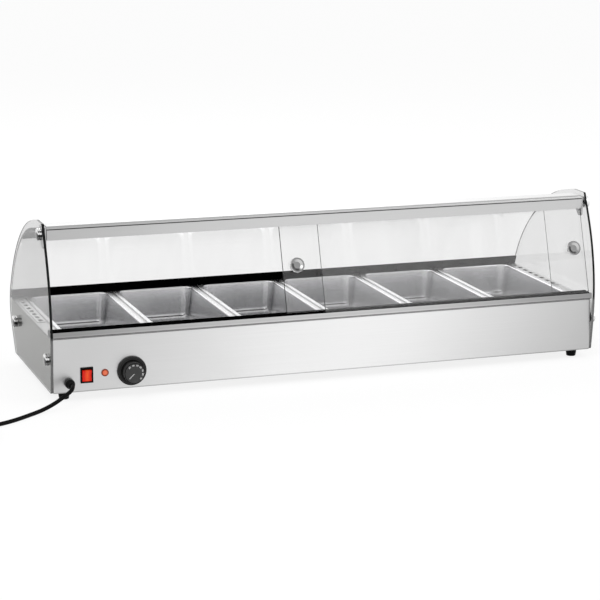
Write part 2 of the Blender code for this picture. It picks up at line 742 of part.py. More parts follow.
def make_crossbars(mats):
    front = CROSSBAR_FRONT_Y
    rear = PAN_REAR_Y - PAN_SEAT - FIT_GAP
    top = DECK_TOP
    under_deck = HOUSING_HEIGHT
    for index in range(PAN_COUNT - 1):
        x = (index - (PAN_COUNT - 2) / 2) * PAN_PITCH
        mesh = box_mesh("crossbar", (-CROSSBAR_WIDTH / 2, front, top - SHEET),
                        (CROSSBAR_WIDTH / 2, rear, top))
        bar = add_object(f"crossbar_{index + 1}", mesh, mats["brushed_steel"], location=(x, 0, 0))
        web = block(f"crossbar_web_{index + 1}",
                    (-CROSSBAR_WEB / 2, front, top - CROSSBAR_DEPTH),
                    (CROSSBAR_WEB / 2, rear, top - SHEET / 2), location=(x, 0, 0))
        tongue = block(f"crossbar_tongue_{index + 1}",
                       (-CROSSBAR_WEB / 2, front - CROSSBAR_TONGUE, under_deck - CROSSBAR_DEPTH / 2),
                       (CROSSBAR_WEB / 2, rear + CROSSBAR_TONGUE, under_deck), location=(x, 0, 0))
        boolean(bar, web, "UNION")
        boolean(bar, tongue, "UNION")


def make_sill_and_track(mats):
    back = SILL_DEPTH - SILL_PROUD
    sill = rounded_outline([
        (back, DECK_TOP + SILL_REAR_RISE, 0),
        (back, SILL_BASE, BEND_RADIUS),
        (-SILL_PROUD, SILL_BASE, BEND_RADIUS),
        (-SILL_PROUD, SILL_TOP, 0),
    ], closed=False)
    folded_sheet("front_sill", sill, -HALF_LENGTH, HALF_LENGTH, SHEET, mats["brushed_steel"])
    low = SILL_BASE + SHEET + FIT_GAP
    front_y = -SILL_PROUD + SHEET + FIT_GAP
    back_y = back - SHEET - FIT_GAP
    corner = BEND_RADIUS
    outline = [(front_y + corner, low), (back_y - corner, low), (back_y, low + corner), (back_y, SILL_TOP)]
    outline += slot_points(1, SILL_TOP, TRACK_FLOOR)[::-1]
    outline += slot_points(0, SILL_TOP, TRACK_FLOOR)[::-1]
    outline += [(front_y, SILL_TOP), (front_y, low + corner)]
    mesh = outline_mesh("lower_track", [outline], -HALF_LENGTH, HALF_LENGTH)
    add_object("lower_track", mesh, mats["black_plastic"])


def curved_glass_run():
    return rounded_outline([
        (RAIL_BACK_Y + CURVE_TOP_BEYOND_RAIL, CASE_TOP - CURVE_TOP_DROP, 0),
        (CURVE_CORNER_Y, CURVE_CORNER_Z, CURVE_RADIUS),
        (CURVE_FOOT_Y, CURVE_FOOT_Z, 0),
    ], closed=False)


def make_customer_glass(mats):
    folded_sheet("customer_glass", curved_glass_run(), -HALF_LENGTH, HALF_LENGTH, GLASS, mats["clear_glass"])
    run = curved_glass_run()
    run.append(run[-1] + (run[-1] - run[-2]).normalized() * FLANGE)
    inner_slot = GLASS + CHANNEL_SLACK
    outer_slot = -CHANNEL_SLACK
    base = DECK_TOP + FIT_GAP
    walls = (
        (inner_slot + CHANNEL_INNER_WALL, base),
        (outer_slot - CHANNEL_OUTER_WALL, base),
        (outer_slot, CHANNEL_SEAT),
        (inner_slot, CHANNEL_SEAT),
    )
    outline = []
    for index, (offset, foot) in enumerate(walls):
        wall = between_heights(offset_points(run, offset), CHANNEL_TOP, foot)
        outline += wall[::-1] if index % 2 else wall
    mesh = outline_mesh("rear_glass_channel", [outline], -HALF_LENGTH, HALF_LENGTH)
    add_object("rear_glass_channel", mesh, mats["black_plastic"])


def make_top_rail(mats):
    run = curved_glass_run()
    along = (run[1] - run[0]).normalized()
    outward = Vector((-along.y, along.x))
    if outward.y < 0:
        outward = -outward
    glass_top = run[0]

    def on_glass(offset, y):
        start = glass_top + outward * offset
        return tuple(start + along * (y - start.x) / along.x)

    lip_end = RAIL_BACK_Y + RAIL_LIP
    wall = CHANNEL_OUTER_WALL
    slack = CHANNEL_SLACK
    outline = [(RAIL_FRONT_Y, RAIL_UNDERSIDE)]
    outline += slot_points(0, RAIL_UNDERSIDE, RAIL_SLOT_TOP)
    outline += slot_points(1, RAIL_UNDERSIDE, RAIL_SLOT_TOP)
    outline += [
        (RAIL_BACK_Y, RAIL_UNDERSIDE),
        on_glass(-GLASS - slack - wall, RAIL_BACK_Y),
        on_glass(-GLASS - slack - wall, lip_end),
        on_glass(-GLASS - slack, lip_end),
        on_glass(-GLASS - slack, RAIL_BACK_Y),
        on_glass(slack, RAIL_BACK_Y),
        on_glass(slack, lip_end),
        on_glass(slack + wall, lip_end),
    ]
    crown = rounded_outline([
        outline[-1] + (0,),
        (RAIL_BACK_Y, RAIL_CROWN_Z, RAIL_CROWN_RADIUS),
        (RAIL_FRONT_Y + RAIL_GROOVE, RAIL_CROWN_Z, RAIL_CROWN_RADIUS),
        (RAIL_FRONT_Y + RAIL_GROOVE, RAIL_FACE_TOP + 2 * RAIL_GROOVE, 0),
    ], closed=False)
    outline += [tuple(point) for point in crown[1:-1]]
    outline += [
        (RAIL_FRONT_Y + RAIL_GROOVE / 2, RAIL_FACE_TOP + RAIL_GROOVE),
        (RAIL_FRONT_Y + 2 * RAIL_GROOVE, RAIL_FACE_TOP + RAIL_GROOVE),
        (RAIL_FRONT_Y + 2 * RAIL_GROOVE, RAIL_FACE_TOP),
        (RAIL_FRONT_Y, RAIL_FACE_TOP),
    ]
    end = HALF_LENGTH - RAIL_END_INSET
    add_object("top_rail", outline_mesh("top_rail", [outline], -end, end), mats["rail_aluminium"])


def make_rail_brackets(mats):
    margin = BEND_RADIUS
    lobe = LOBE_RADIUS
    lobe_bottom = CASE_TOP - LOBE_DROP
    outline = rounded_outline([
        (RAIL_FRONT_Y + margin, RAIL_CROWN_Z - margin, margin),
        (RAIL_BACK_Y - margin, RAIL_CROWN_Z - margin, margin),
        (RAIL_BACK_Y - margin, RAIL_UNDERSIDE, lobe),
        (TOP_STANDOFF_Y + lobe, lobe_bottom, lobe),
        (TOP_STANDOFF_Y - lobe, lobe_bottom, lobe),
        (RAIL_FRONT_Y + margin, RAIL_UNDERSIDE, lobe),
    ])
    for side, sign in (("left", -1), ("right", 1)):
        span = sorted((sign * HALF_LENGTH, sign * (HALF_LENGTH - BRACKET)))
        bracket = add_object(f"rail_bracket_{side}", outline_mesh("rail_bracket", [outline], *span),
                             mats["rail_aluminium"])
        boolean(bracket, rod(f"bracket_hole_{side}", SHANK_RADIUS + FIT_GAP, -OVERRUN, OVERRUN,
                             (sign * HALF_LENGTH, TOP_STANDOFF_Y, TOP_STANDOFF_Z), TOWARDS_RIGHT))


def standoff_places():
    return (
        ("top", TOP_STANDOFF_Y, TOP_STANDOFF_Z, BRACKET),
        ("front", FRONT_STANDOFF_Y, DECK_TOP - FRONT_STANDOFF_BELOW_DECK, END_SHEET + SHANK_REACH),
        ("rear", REAR_FOOT_Y - REAR_STANDOFF_INSET, DECK_TOP - REAR_STANDOFF_BELOW_DECK,
         END_SHEET + SHANK_REACH),
    )


def make_side_glasses(mats):
    outline = side_glass_outline()
    inner_face = HALF_LENGTH + GLASS_STANDOFF
    outer_face = inner_face + GLASS
    cap_foot = outer_face + FIT_GAP
    for side, sign, turn in (("left", -1, TOWARDS_LEFT), ("right", 1, TOWARDS_RIGHT)):
        span = sorted((sign * inner_face, sign * outer_face))
        mesh = outline_mesh("side_glass", [outline], *span)
        glass = add_object(f"side_glass_{side}", mesh, mats["clear_glass"])
        for place, y, z, reach in standoff_places():
            boolean(glass, rod(f"glass_hole_{side}_{place}", SHANK_RADIUS + SHANK_CLEARANCE, -OVERRUN,
                               GLASS + OVERRUN, (sign * inner_face, y, z), turn))
            shank = cap_foot - HALF_LENGTH + reach
            profile = [
                (0, STANDOFF_CAP),
                (STANDOFF_RADIUS - STANDOFF_EDGE, STANDOFF_CAP),
                (STANDOFF_RADIUS, STANDOFF_CAP - STANDOFF_EDGE),
                (STANDOFF_RADIUS, 0),
                (SHANK_RADIUS, 0),
                (SHANK_RADIUS, -shank),
                (0, -shank),
            ]
            turned(f"standoff_{side}_{place}", profile, mats["chrome"], (sign * cap_foot, y, z), turn)


def door_height():
    return (DOOR_TOP_Z - SILL_TOP) / cos(DOOR_TILT)


def make_door(name, track, left_x, knob_side, mats):
    """One door. Its own frame has X along it, Z up its slope, and its origin at the sill's height."""
    drop = (SILL_TOP - TRACK_FLOOR - FIT_GAP) / cos(DOOR_TILT) - DOOR_PANE / 2 * tan(DOOR_TILT)
    outline = rounded_outline([
        (0, -drop, DOOR_CORNER),
        (DOOR_WIDTH, -drop, DOOR_CORNER),
        (DOOR_WIDTH, door_height(), DOOR_CORNER),
        (0, door_height(), DOOR_CORNER),
    ])
    mesh = outline_mesh(name, [outline], -DOOR_PANE / 2, DOOR_PANE / 2, "XZ")
    door = add_object(name, mesh, mats["clear_glass"], location=(left_x, track_y(track, SILL_TOP), SILL_TOP),
                      rotation=(-DOOR_TILT, 0, 0))
    knob_x = DOOR_KNOB_INSET if knob_side == "left" else DOOR_WIDTH - DOOR_KNOB_INSET
    knob_up = (DOOR_KNOB_Z - SILL_TOP) / cos(DOOR_TILT)
    boolean(door, rod(f"{name}_hole", DOOR_SCREW_RADIUS + DOOR_SCREW_CLEARANCE, -OVERRUN, OVERRUN,
                      (knob_x, 0, knob_up), TOWARDS_OPERATOR, parent=door))
    face = DOOR_PANE / 2 + FIT_GAP
    knob_top = DOOR_PANE / 2 + DOOR_KNOB_PROUD
    edge = STANDOFF_EDGE
    inner = DOOR_PANE / 2 + FIT_GAP
    profile = [
        (0, knob_top - edge),
        (DOOR_KNOB_WAIST, knob_top - edge),
        (DOOR_KNOB_WAIST + edge, knob_top),
        (DOOR_KNOB_RADIUS - edge, knob_top),
        (DOOR_KNOB_RADIUS, knob_top - edge),
        (DOOR_KNOB_RADIUS, (face + knob_top) / 2),
        (DOOR_KNOB_WAIST, face + edge),
        (DOOR_KNOB_WAIST, face),
        (DOOR_SCREW_RADIUS, face),
        (DOOR_SCREW_RADIUS, -inner),
        (DOOR_WASHER_RADIUS, -inner),
        (DOOR_WASHER_RADIUS, edge - inner - DOOR_WASHER),
        (DOOR_WASHER_RADIUS - edge, -inner - DOOR_WASHER),
        (0, -inner - DOOR_WASHER),
    ]
    turned(f"door_knob_{knob_side}", profile, mats["chrome"], (knob_x, 0, knob_up), TOWARDS_OPERATOR,
           parent=door)


def make_doors(mats):
    make_door("door_left", 1, LEFT_END + DOOR_END_INSET + LEFT_DOOR_OPEN, "left", mats)
    make_door("door_right", 0, HALF_LENGTH - DOOR_END_INSET - DOOR_WIDTH, "right", mats)


def pan_rings():
    """Stations of a pan's sheet, from the rim's foot to the floor: inset, height and corner radius."""
    top = PAN_RIM_FOOT + PAN_RIM_DROP + PAN_SHEET
    floor = DECK_TOP + PAN_RIM_DROP - PAN_DEPTH
    depth = top - floor
    rings = [(0, PAN_RIM_FOOT, PAN_RIM_CORNER), (0, top - PAN_SHEET / 2, PAN_RIM_CORNER),
             (PAN_SHEET / 2, top, PAN_RIM_CORNER)]
    angles = [pi / 2 * step / PAN_ROUND_STEPS for step in range(PAN_ROUND_STEPS + 1)]
    for angle in angles:
        inset = PAN_RIM + PAN_SHOULDER * (sin(angle) - 1)
        rings.append((inset, top - PAN_SHOULDER * (1 - cos(angle)), PAN_CORNER))
    wall_foot = PAN_RIM + PAN_TAPER * (1 - PAN_FLOOR_ROUND / depth)
    for angle in angles:
        inset = wall_foot + PAN_FLOOR_ROUND * (1 - cos(angle))
        rings.append((inset, floor + PAN_FLOOR_ROUND * (1 - sin(angle)), PAN_CORNER - PAN_TAPER))
    return rings


def make_pans(mats):
    pivot_z = PAN_RIM_FOOT
    for index in range(PAN_COUNT):
        x = (index - (PAN_COUNT - 1) / 2) * PAN_PITCH
        bm = bmesh.new()
        loops = []
        for inset, z, radius in pan_rings():
            corner = max(radius - inset / 2, BEND_RADIUS)
            half = PAN_WIDTH / 2 - inset
            ring = []
            for centre_x, centre_y, start in (
                    (half - corner, -inset - corner, 0),
                    (corner - half, -inset - corner, 1),
                    (corner - half, inset + corner - PAN_LENGTH, 2),
                    (half - corner, inset + corner - PAN_LENGTH, 3)):
                for step in range(PAN_CORNER_STEPS + 1):
                    angle = (start + step / PAN_CORNER_STEPS) * pi / 2
                    x_here = centre_x + corner * cos(angle)
                    y_here = centre_y + corner * sin(angle)
                    ring.append(bm.verts.new((x_here, y_here, z - pivot_z)))
            loops.append(ring)
        for outer, inner in zip(loops, loops[1:]):
            for step in range(len(outer)):
                after = (step + 1) % len(outer)
                bm.faces.new((outer[step], outer[after], inner[after], inner[step]))
        bm.faces.new(loops[-1])
        bmesh.ops.recalc_face_normals(bm, faces=bm.faces)
        mesh = bpy.data.meshes.new("pan")
        bm.to_mesh(mesh)
        bm.free()
        shade(mesh)
        pan = add_object(f"pan_{index + 1}", mesh, mats["pan_steel"], location=(x, PAN_REAR_Y, pivot_z))
        wall = pan.modifiers.new("wall", "SOLIDIFY")
        wall.thickness = PAN_SHEET
        wall.offset = -1.0
        wall.use_even_offset = True


def tube(name, points, radius, mat, resolution=1, radii=None):
    curve = bpy.data.curves.new(name, "CURVE")
    curve.dimensions = "3D"
    curve.bevel_depth = radius
    curve.bevel_resolution = resolution
    curve.use_fill_caps = True
    spline = curve.splines.new("POLY")
    spline.points.add(len(points) - 1)
    for index, (point, place) in enumerate(zip(spline.points, points)):
        point.co = (*place, 1)
        if radii:
            point.radius = radii[index]
    curve.materials.append(mat)
    obj = bpy.data.objects.new(name, curve)
    parts.objects.link(obj)
    obj.parent = case_frame
    return obj


def make_heating(mats):
    low = BOTTOM_TOP + FIT_GAP
    tray = rounded_outline([
        (TRAY_REAR_Y, low, 0),
        (TRAY_REAR_Y, TRAY_TOP, BEND_RADIUS),
        (TRAY_FRONT_Y, TRAY_TOP, BEND_RADIUS),
        (TRAY_FRONT_Y, low, 0),
    ], closed=False)
    folded_sheet("heater_tray", tray[::-1], -TRAY_HALF_LENGTH, TRAY_HALF_LENGTH, SHEET,
                 mats["brushed_steel"])
    z = TRAY_TOP + FIT_GAP + HEATER_TUBE_RADIUS
    turn_radius = HEATER_RUN_PITCH / 2
    for side, sign in (("left", -1), ("right", 1)):
        points = [Vector((sign * HEATER_OUTER_X, HEATER_FRONT_Y, z))]
        for run in range(HEATER_RUNS - 1):
            towards_middle = run % 2 == 0
            turn_x = HEATER_INNER_X + turn_radius if towards_middle else HEATER_OUTER_X - turn_radius
            centre_y = HEATER_FRONT_Y + run * HEATER_RUN_PITCH + turn_radius
            for step in range(HEATER_BEND_STEPS + 1):
                angle = -pi / 2 + pi * step / HEATER_BEND_STEPS
                reach = cos(angle) * turn_radius * (-1 if towards_middle else 1)
                points.append(Vector((sign * (turn_x + reach), centre_y + sin(angle) * turn_radius, z)))
        last_y = HEATER_FRONT_Y + (HEATER_RUNS - 1) * HEATER_RUN_PITCH
        points.append(Vector((sign * HEATER_OUTER_X, last_y, z)))
        tube(f"heater_{side}", points, HEATER_TUBE_RADIUS, mats["heater_alloy"])
    foot = low
    baffle = rounded_outline([
        (BAFFLE_Y - BAFFLE_FOOT, foot, 0),
        (BAFFLE_Y, foot, BEND_RADIUS),
        (BAFFLE_Y, HOUSING_HEIGHT - SHEET - 2 * FIT_GAP, 0),
    ], closed=False)
    start = LEFT_END + END_SHEET + BOTTOM_SHEET + 2 * FIT_GAP
    plate = folded_sheet("heat_baffle", baffle[::-1], start, start + BAFFLE_LENGTH, SHEET,
                         mats["brushed_steel"])
    boolean(plate, rod("capillary_hole", CAPILLARY_HOLE_RADIUS, -OVERRUN, OVERRUN,
                       (LEFT_END + KNOB_X, BAFFLE_Y, CAPILLARY_Z), TOWARDS_OPERATOR, steps=HOLE_STEPS))


def make_thermostat(mats):
    x = LEFT_END + KNOB_X
    back = SHEET + FIT_GAP
    body = [
        (0, SHAFT_LENGTH),
        (SHAFT_RADIUS, SHAFT_LENGTH),
        (SHAFT_RADIUS, -back),
        (THERMOSTAT_RADIUS, -back),
        (THERMOSTAT_RADIUS, -back - THERMOSTAT_DEPTH),
        (0, -back - THERMOSTAT_DEPTH),
    ]
    turned("thermostat_body", body, mats["white_ceramic"], (x, 0, KNOB_Z), TOWARDS_OPERATOR)
    bore = SHAFT_RADIUS + FIT_GAP
    knob = [
        (0, KNOB_PROUD),
        (KNOB_FACE_RADIUS - KNOB_EDGE, KNOB_PROUD),
        (KNOB_FACE_RADIUS, KNOB_PROUD - KNOB_EDGE),
        (KNOB_HUB_RADIUS, KNOB_SKIRT + KNOB_EDGE),
        (KNOB_HUB_RADIUS + KNOB_EDGE, KNOB_SKIRT),
        (KNOB_SKIRT_RADIUS - KNOB_EDGE, KNOB_SKIRT),
        (KNOB_SKIRT_RADIUS, KNOB_SKIRT - KNOB_EDGE),
        (KNOB_SKIRT_RADIUS, 0),
        (bore, 0),
        (bore, KNOB_BORE_DEPTH),
        (0, KNOB_BORE_DEPTH),
    ]
    turned("thermostat_knob", knob, mats["black_plastic"], (x, -KNOB_GAP, KNOB_Z), TOWARDS_OPERATOR,
           steps=KNOB_STEPS)
    rear = back + THERMOSTAT_DEPTH + FIT_GAP
    bulb_z = TRAY_TOP + FIT_GAP + SENSOR_BULB_RADIUS
    bulb_y = (TRAY_FRONT_Y + HEATER_FRONT_Y) / 2
    route = [
        (x, rear, CAPILLARY_Z),
        (x, BAFFLE_Y, CAPILLARY_Z),
        (x + CROSSBAR_WIDTH / 2, TRAY_FRONT_Y, CAPILLARY_Z),
        (x + 2 * CROSSBAR_WIDTH, bulb_y, bulb_z + SENSOR_BULB_RADIUS),
        (x + 3 * CROSSBAR_WIDTH, bulb_y, bulb_z),
    ]
    points = smooth_run(route, CROSSBAR_WIDTH / 2)
    radii = [1.0] * len(points)
    thick = SENSOR_BULB_RADIUS / CAPILLARY_RADIUS
    end = points[-1]
    for reach in (SENSOR_BULB_RADIUS, SENSOR_BULB_LENGTH):
        points.append(end + Vector((reach, 0, 0)))
        radii.append(thick)
    tube("thermostat_sensor", points, CAPILLARY_RADIUS, mats["copper"], radii=radii)


def smooth_run(route, step):
    """Evenly spaced points on a smooth curve through a route, whose first and last legs stay straight."""
    ends = [Vector(point) for point in route]
    knots = ends[1:-1]
    fine = []
    for before, here, after, beyond in zip(ends, ends[1:], ends[2:], ends[3:]):
        legs = ((before, here), (here, after), (after, beyond))
        spans = [sqrt(max((b - a).length, WELD)) for a, b in legs]
        for sample in range(CORD_SAMPLES):
            share = sample / CORD_SAMPLES
            lead = ((after - here) / spans[1] - (after - before) / (spans[0] + spans[1])
                    + (here - before) / spans[0]) * spans[1]
            trail = ((beyond - after) / spans[2] - (beyond - here) / (spans[1] + spans[2])
                     + (after - here) / spans[1]) * spans[1]
            square = share * share
            cube = square * share
            fine.append((2 * cube - 3 * square + 1) * here + (cube - 2 * square + share) * lead
                        + (3 * square - 2 * cube) * after + (cube - square) * trail)
    fine.append(knots[-1])
    lengths = np.concatenate([[0], np.cumsum([(b - a).length for a, b in zip(fine, fine[1:])])])
    count = max(2, round(lengths[-1] / step))
    places = np.linspace(0, lengths[-1], count + 1)
    table = np.array([tuple(point) for point in fine])
    run = [Vector([float(np.interp(place, lengths, column)) for column in table.T]) for place in places]
    return [ends[0]] + run + [ends[-1]]


def make_switch(mats):
    centre = (LEFT_END + SWITCH_X, 0, SWITCH_Z)
    half_x = SWITCH_WIDTH / 2
    half_z = SWITCH_HEIGHT / 2
    step = SWITCH_BODY_STEP
    frame = box_mesh("switch_housing", (-half_x, -SWITCH_BEZEL - FIT_GAP, -half_z),
                     (half_x, -FIT_GAP, half_z), bevel=SWITCH_BEZEL / 3)
    housing = add_object("switch_housing", frame, mats["black_plastic"], location=centre)
    body = block("switch_body", (step - half_x, -SWITCH_BEZEL / 2 - FIT_GAP, step - half_z),
                 (half_x - step, SWITCH_DEPTH, half_z - step), location=centre)
    boolean(housing, body, "UNION")
    pocket_x = half_x - SWITCH_FRAME
    pocket_z = half_z - SWITCH_FRAME
    pocket_back = ROCKER_PIVOT_Y + ROCKER_BACK_RADIUS + ROCKER_GAP
    boolean(housing, block("switch_pocket", (-pocket_x, -OVERRUN, -pocket_z),
                           (pocket_x, pocket_back, pocket_z), location=centre))
    crest_y = -ROCKER_PIVOT_Y - ROCKER_PROUD
    reach = pocket_z - ROCKER_GAP + crest_y * sin(ROCKER_FACE_ANGLE)
    hollow = reach * sin(ROCKER_FACE_ANGLE)
    shoulder_y = crest_y + hollow + ROCKER_PROUD
    outline = [(crest_y + 2 * hollow, 0), (crest_y, reach), (shoulder_y, reach)]
    for index in range(ROCKER_BACK_STEPS + 1):
        angle = pi / 2 - pi * index / ROCKER_BACK_STEPS
        outline.append((ROCKER_BACK_RADIUS * cos(angle), ROCKER_BACK_RADIUS * sin(angle)))
    outline += [(shoulder_y, -reach), (crest_y, -reach)]
    half_rocker = pocket_x - ROCKER_GAP
    mesh = outline_mesh("switch_rocker", [outline], -half_rocker, half_rocker)
    add_object("switch_rocker", mesh, mats["red_rocker"],
               location=(centre[0], ROCKER_PIVOT_Y, centre[2]), rotation=(ROCKER_SWING / 2, 0, 0))


def make_lamp(mats):
    place = (LEFT_END + LAMP_X, 0, LAMP_Z)
    bore = LAMP_RADIUS - LAMP_WALL
    seat = FIT_GAP
    housing = [
        (0, seat),
        (bore, seat),
        (bore, LAMP_BEZEL + FIT_GAP),
        (LAMP_RADIUS - LAMP_BEZEL / 4, LAMP_BEZEL + FIT_GAP),
        (LAMP_RADIUS, LAMP_BEZEL / 2 + FIT_GAP),
        (LAMP_RADIUS, FIT_GAP),
        (LAMP_BODY_RADIUS, FIT_GAP),
        (LAMP_BODY_RADIUS, -LAMP_DEPTH),
        (0, -LAMP_DEPTH),
    ]
    turned("lamp_housing", housing, mats["red_lens"], place, TOWARDS_OPERATOR)
    lens_radius = bore - FIT_GAP
    lens = []
    for index in range(LENS_STEPS + 1):
        angle = pi / 2 * index / LENS_STEPS
        lens.append((lens_radius * sin(angle), LAMP_BEZEL + (LENS_PROUD - LAMP_BEZEL) * cos(angle)))
    lens += [(lens_radius, seat + FIT_GAP), (0, seat + FIT_GAP)]
    turned("lamp_lens", lens, mats["red_lens"], place, TOWARDS_OPERATOR)


def make_gland_and_terminals(mats):
    gland = [
        (0, GLAND_PROUD),
        (GLAND_NOSE_RADIUS, GLAND_PROUD),
        (GLAND_RADIUS, GLAND_FLANGE + GLAND_PROUD / 3),
        (GLAND_RADIUS, FIT_GAP),
        (GLAND_BODY_RADIUS, FIT_GAP),
        (GLAND_BODY_RADIUS, -SHEET - FIT_GAP),
        (GLAND_NUT_RADIUS, -SHEET - FIT_GAP),
        (GLAND_NUT_RADIUS, -SHEET - FIT_GAP - GLAND_NUT),
        (GLAND_BODY_RADIUS, -SHEET - FIT_GAP - GLAND_NUT),
        (GLAND_BODY_RADIUS, -GLAND_TAIL),
        (0, -GLAND_TAIL),
    ]
    turned("cord_gland", gland, mats["black_plastic"], (LEFT_END + GLAND_X, 0, GLAND_Z), TOWARDS_OPERATOR)
    low_x = LEFT_END + TERMINAL_OFFSET - TERMINAL_LENGTH / 2
    foot = BOTTOM_TOP + FIT_GAP
    high = (low_x + TERMINAL_LENGTH, TERMINAL_Y + TERMINAL_DEPTH, foot + TERMINAL_HEIGHT)
    mesh = box_mesh("terminal_block", (low_x, TERMINAL_Y, foot), high, TERMINAL_BEVEL)
    add_object("terminal_block", mesh, mats["white_ceramic"])


def cord_route():
    """The cord's free run, from the housing's left end: out of the gland, down and away to the left."""
    lie = FLOOR_Z + CORD_RADIUS
    exit_y = -GLAND_PROUD - FIT_GAP
    entry_x = COIL_CENTRE_X + 2 * CORD_RADIUS + FIT_GAP
    entry_y = COIL_CENTRE_Y + COIL_OUTER_RADIUS
    return [
        (GLAND_X, exit_y, GLAND_Z),
        (GLAND_X, exit_y - 2 * CORD_RADIUS, GLAND_Z),
        *CORD_DROP_POINTS,
        *[(x, y, lie) for x, y in CORD_FLOOR_POINTS],
        (entry_x + 4 * CORD_RADIUS, entry_y, lie),
        (entry_x, entry_y, lie),
    ]


def coil_points():
    """The coil: one tube that spirals in on the floor, climbs a layer, and spirals out again."""
    lie = FLOOR_Z + CORD_RADIUS
    turns = COIL_TURNS_EACH_LAYER
    inner = COIL_OUTER_RADIUS - turns * COIL_TURN_PITCH
    points = [Vector((COIL_CENTRE_X + 2 * CORD_RADIUS, COIL_CENTRE_Y + COIL_OUTER_RADIUS, lie))]
    steps = round((2 * turns + 0.5) * COIL_POINTS_A_TURN)
    for step in range(steps + 1):
        turn = step / COIL_POINTS_A_TURN
        if turn <= turns:
            radius = COIL_OUTER_RADIUS - turn * COIL_TURN_PITCH
            rise = 0.0
        elif turn <= turns + 0.5:
            climb = turn - turns
            radius = inner - COIL_TURN_PITCH * min(climb, 0.5 - climb)
            rise = climb / 0.5
        else:
            radius = inner + (turn - turns - 0.5) * COIL_TURN_PITCH
            rise = 1.0
        angle = pi / 2 + 2 * pi * turn
        points.append(Vector((COIL_CENTRE_X + radius * cos(angle), COIL_CENTRE_Y + radius * sin(angle),
                              lie + rise * COIL_LAYER_PITCH)))
    plug_axis = FLOOR_Z + PLUG_RADIUS
    last = points[-1]
    tail_end = last + Vector((-COIL_TAIL, 0, 0))
    for share in COIL_TAIL_SHARES:
        ease = min(share / COIL_TAIL_SHARES[-2], 1.0)
        ease = ease * ease * (3 - 2 * ease)
        points.append(Vector((last.x - COIL_TAIL * share, last.y, last.z + (plug_axis - last.z) * ease)))
    return points, tail_end


def least_gap(points, diameter):
    """The least distance between stretches of a tube that aren't neighbours, less its diameter."""
    dense = []
    steps_a_diameter = 4
    for first, second in zip(points, points[1:]):
        count = max(1, round((second - first).length / diameter * steps_a_diameter))
        dense += [tuple(first.lerp(second, index / count)) for index in range(count)]
    table = np.array(dense)
    skip = 3 * steps_a_diameter
    best = inf
    for index in range(len(table) - skip):
        away = np.linalg.norm(table[index + skip:] - table[index], axis=1)
        best = min(best, float(away.min()))
    return best - diameter


def make_cord(mats):
    start = Vector((LEFT_END, 0, 0))
    points = [point + start for point in smooth_run(cord_route(), CORD_STEP)]
    for point in points:
        point.z = max(point.z, FLOOR_Z + CORD_RADIUS)
    tube("power_cord", points, CORD_RADIUS, mats["black_rubber"], resolution=3)
    coil, tail_end = coil_points()
    print("coil least gap to itself, mm:", round(1000 * least_gap(coil, 2 * CORD_RADIUS), 3))
    length = sum((b - a).length for a, b in zip(points, points[1:]))
    length += sum((b - a).length for a, b in zip(coil, coil[1:]))
    print("cord length, m:", round(length, 3))
    tube("cord_coil", [point + start for point in coil], CORD_RADIUS, mats["black_rubber"], resolution=1)
    axis_z = FLOOR_Z + PLUG_RADIUS
    place = (LEFT_END + tail_end.x - FIT_GAP, tail_end.y, axis_z)
    front = PLUG_NECK_LENGTH + PLUG_LENGTH
    plug = turned("plug", [
        (0, front),
        (PLUG_RADIUS - STANDOFF_EDGE, front),
        (PLUG_RADIUS, front - STANDOFF_EDGE),
        (PLUG_RADIUS, front - PLUG_LENGTH / 3),
        (PLUG_RADIUS - PLUG_WAIST / 2, front - PLUG_LENGTH / 2),
        (PLUG_RADIUS - PLUG_WAIST, front - PLUG_LENGTH),
        (PLUG_NECK_RADIUS, front - PLUG_LENGTH),
        (PLUG_NECK_RADIUS - STANDOFF_EDGE, 0),
        (0, 0),
    ], mats["black_rubber"], place, TOWARDS_LEFT)
    for sign in (-1, 1):
        pin = rod(f"plug_pin_{sign}", PIN_RADIUS, front - STANDOFF_EDGE, front + PIN_LENGTH,
                  (0, sign * PIN_SPREAD, 0), parent=plug, steps=HOLE_STEPS)
        boolean(plug, pin, "UNION")


def main():
    global case_frame
    clear_scene()
    make_collections()
    rear_reach = max(point.x for point in side_glass_outline())
    middle_y = (rear_reach - KNOB_FRONT_REACH) / 2
    case_frame = add_empty("case_frame", (0, -middle_y, FOOT_HEIGHT))
    print("front panel at Y", round(-middle_y, 5))
    mats = make_materials()
    make_housing(mats)
    make_feet(mats)
    make_deck(mats)
    make_crossbars(mats)
    make_sill_and_track(mats)
    make_customer_glass(mats)
    make_top_rail(mats)
    make_rail_brackets(mats)
    make_side_glasses(mats)
    make_doors(mats)
    make_pans(mats)
    make_heating(mats)
    make_thermostat(mats)
    make_switch(mats)
    make_lamp(mats)
    make_gland_and_terminals(mats)
    make_cord(mats)


main()
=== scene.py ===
"""Heated display case: a curved glass warmer with sliding doors and six food pans.

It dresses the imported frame. Lengths are metres. Sections are drawn in the case's own
frame, with Y away from the operator from the front panel's face and Z up from the
housing's underside, and CASE moves them to the world.
"""
import json
from math import atan2, ceil, cos, pi, radians, sin, sqrt, tan

import bmesh
import bpy
import numpy as np
from bpy.props import FloatProperty, FloatVectorProperty, IntProperty, PointerProperty
from bpy.types import Operator, Panel, PropertyGroup
from mathutils import Matrix, Vector

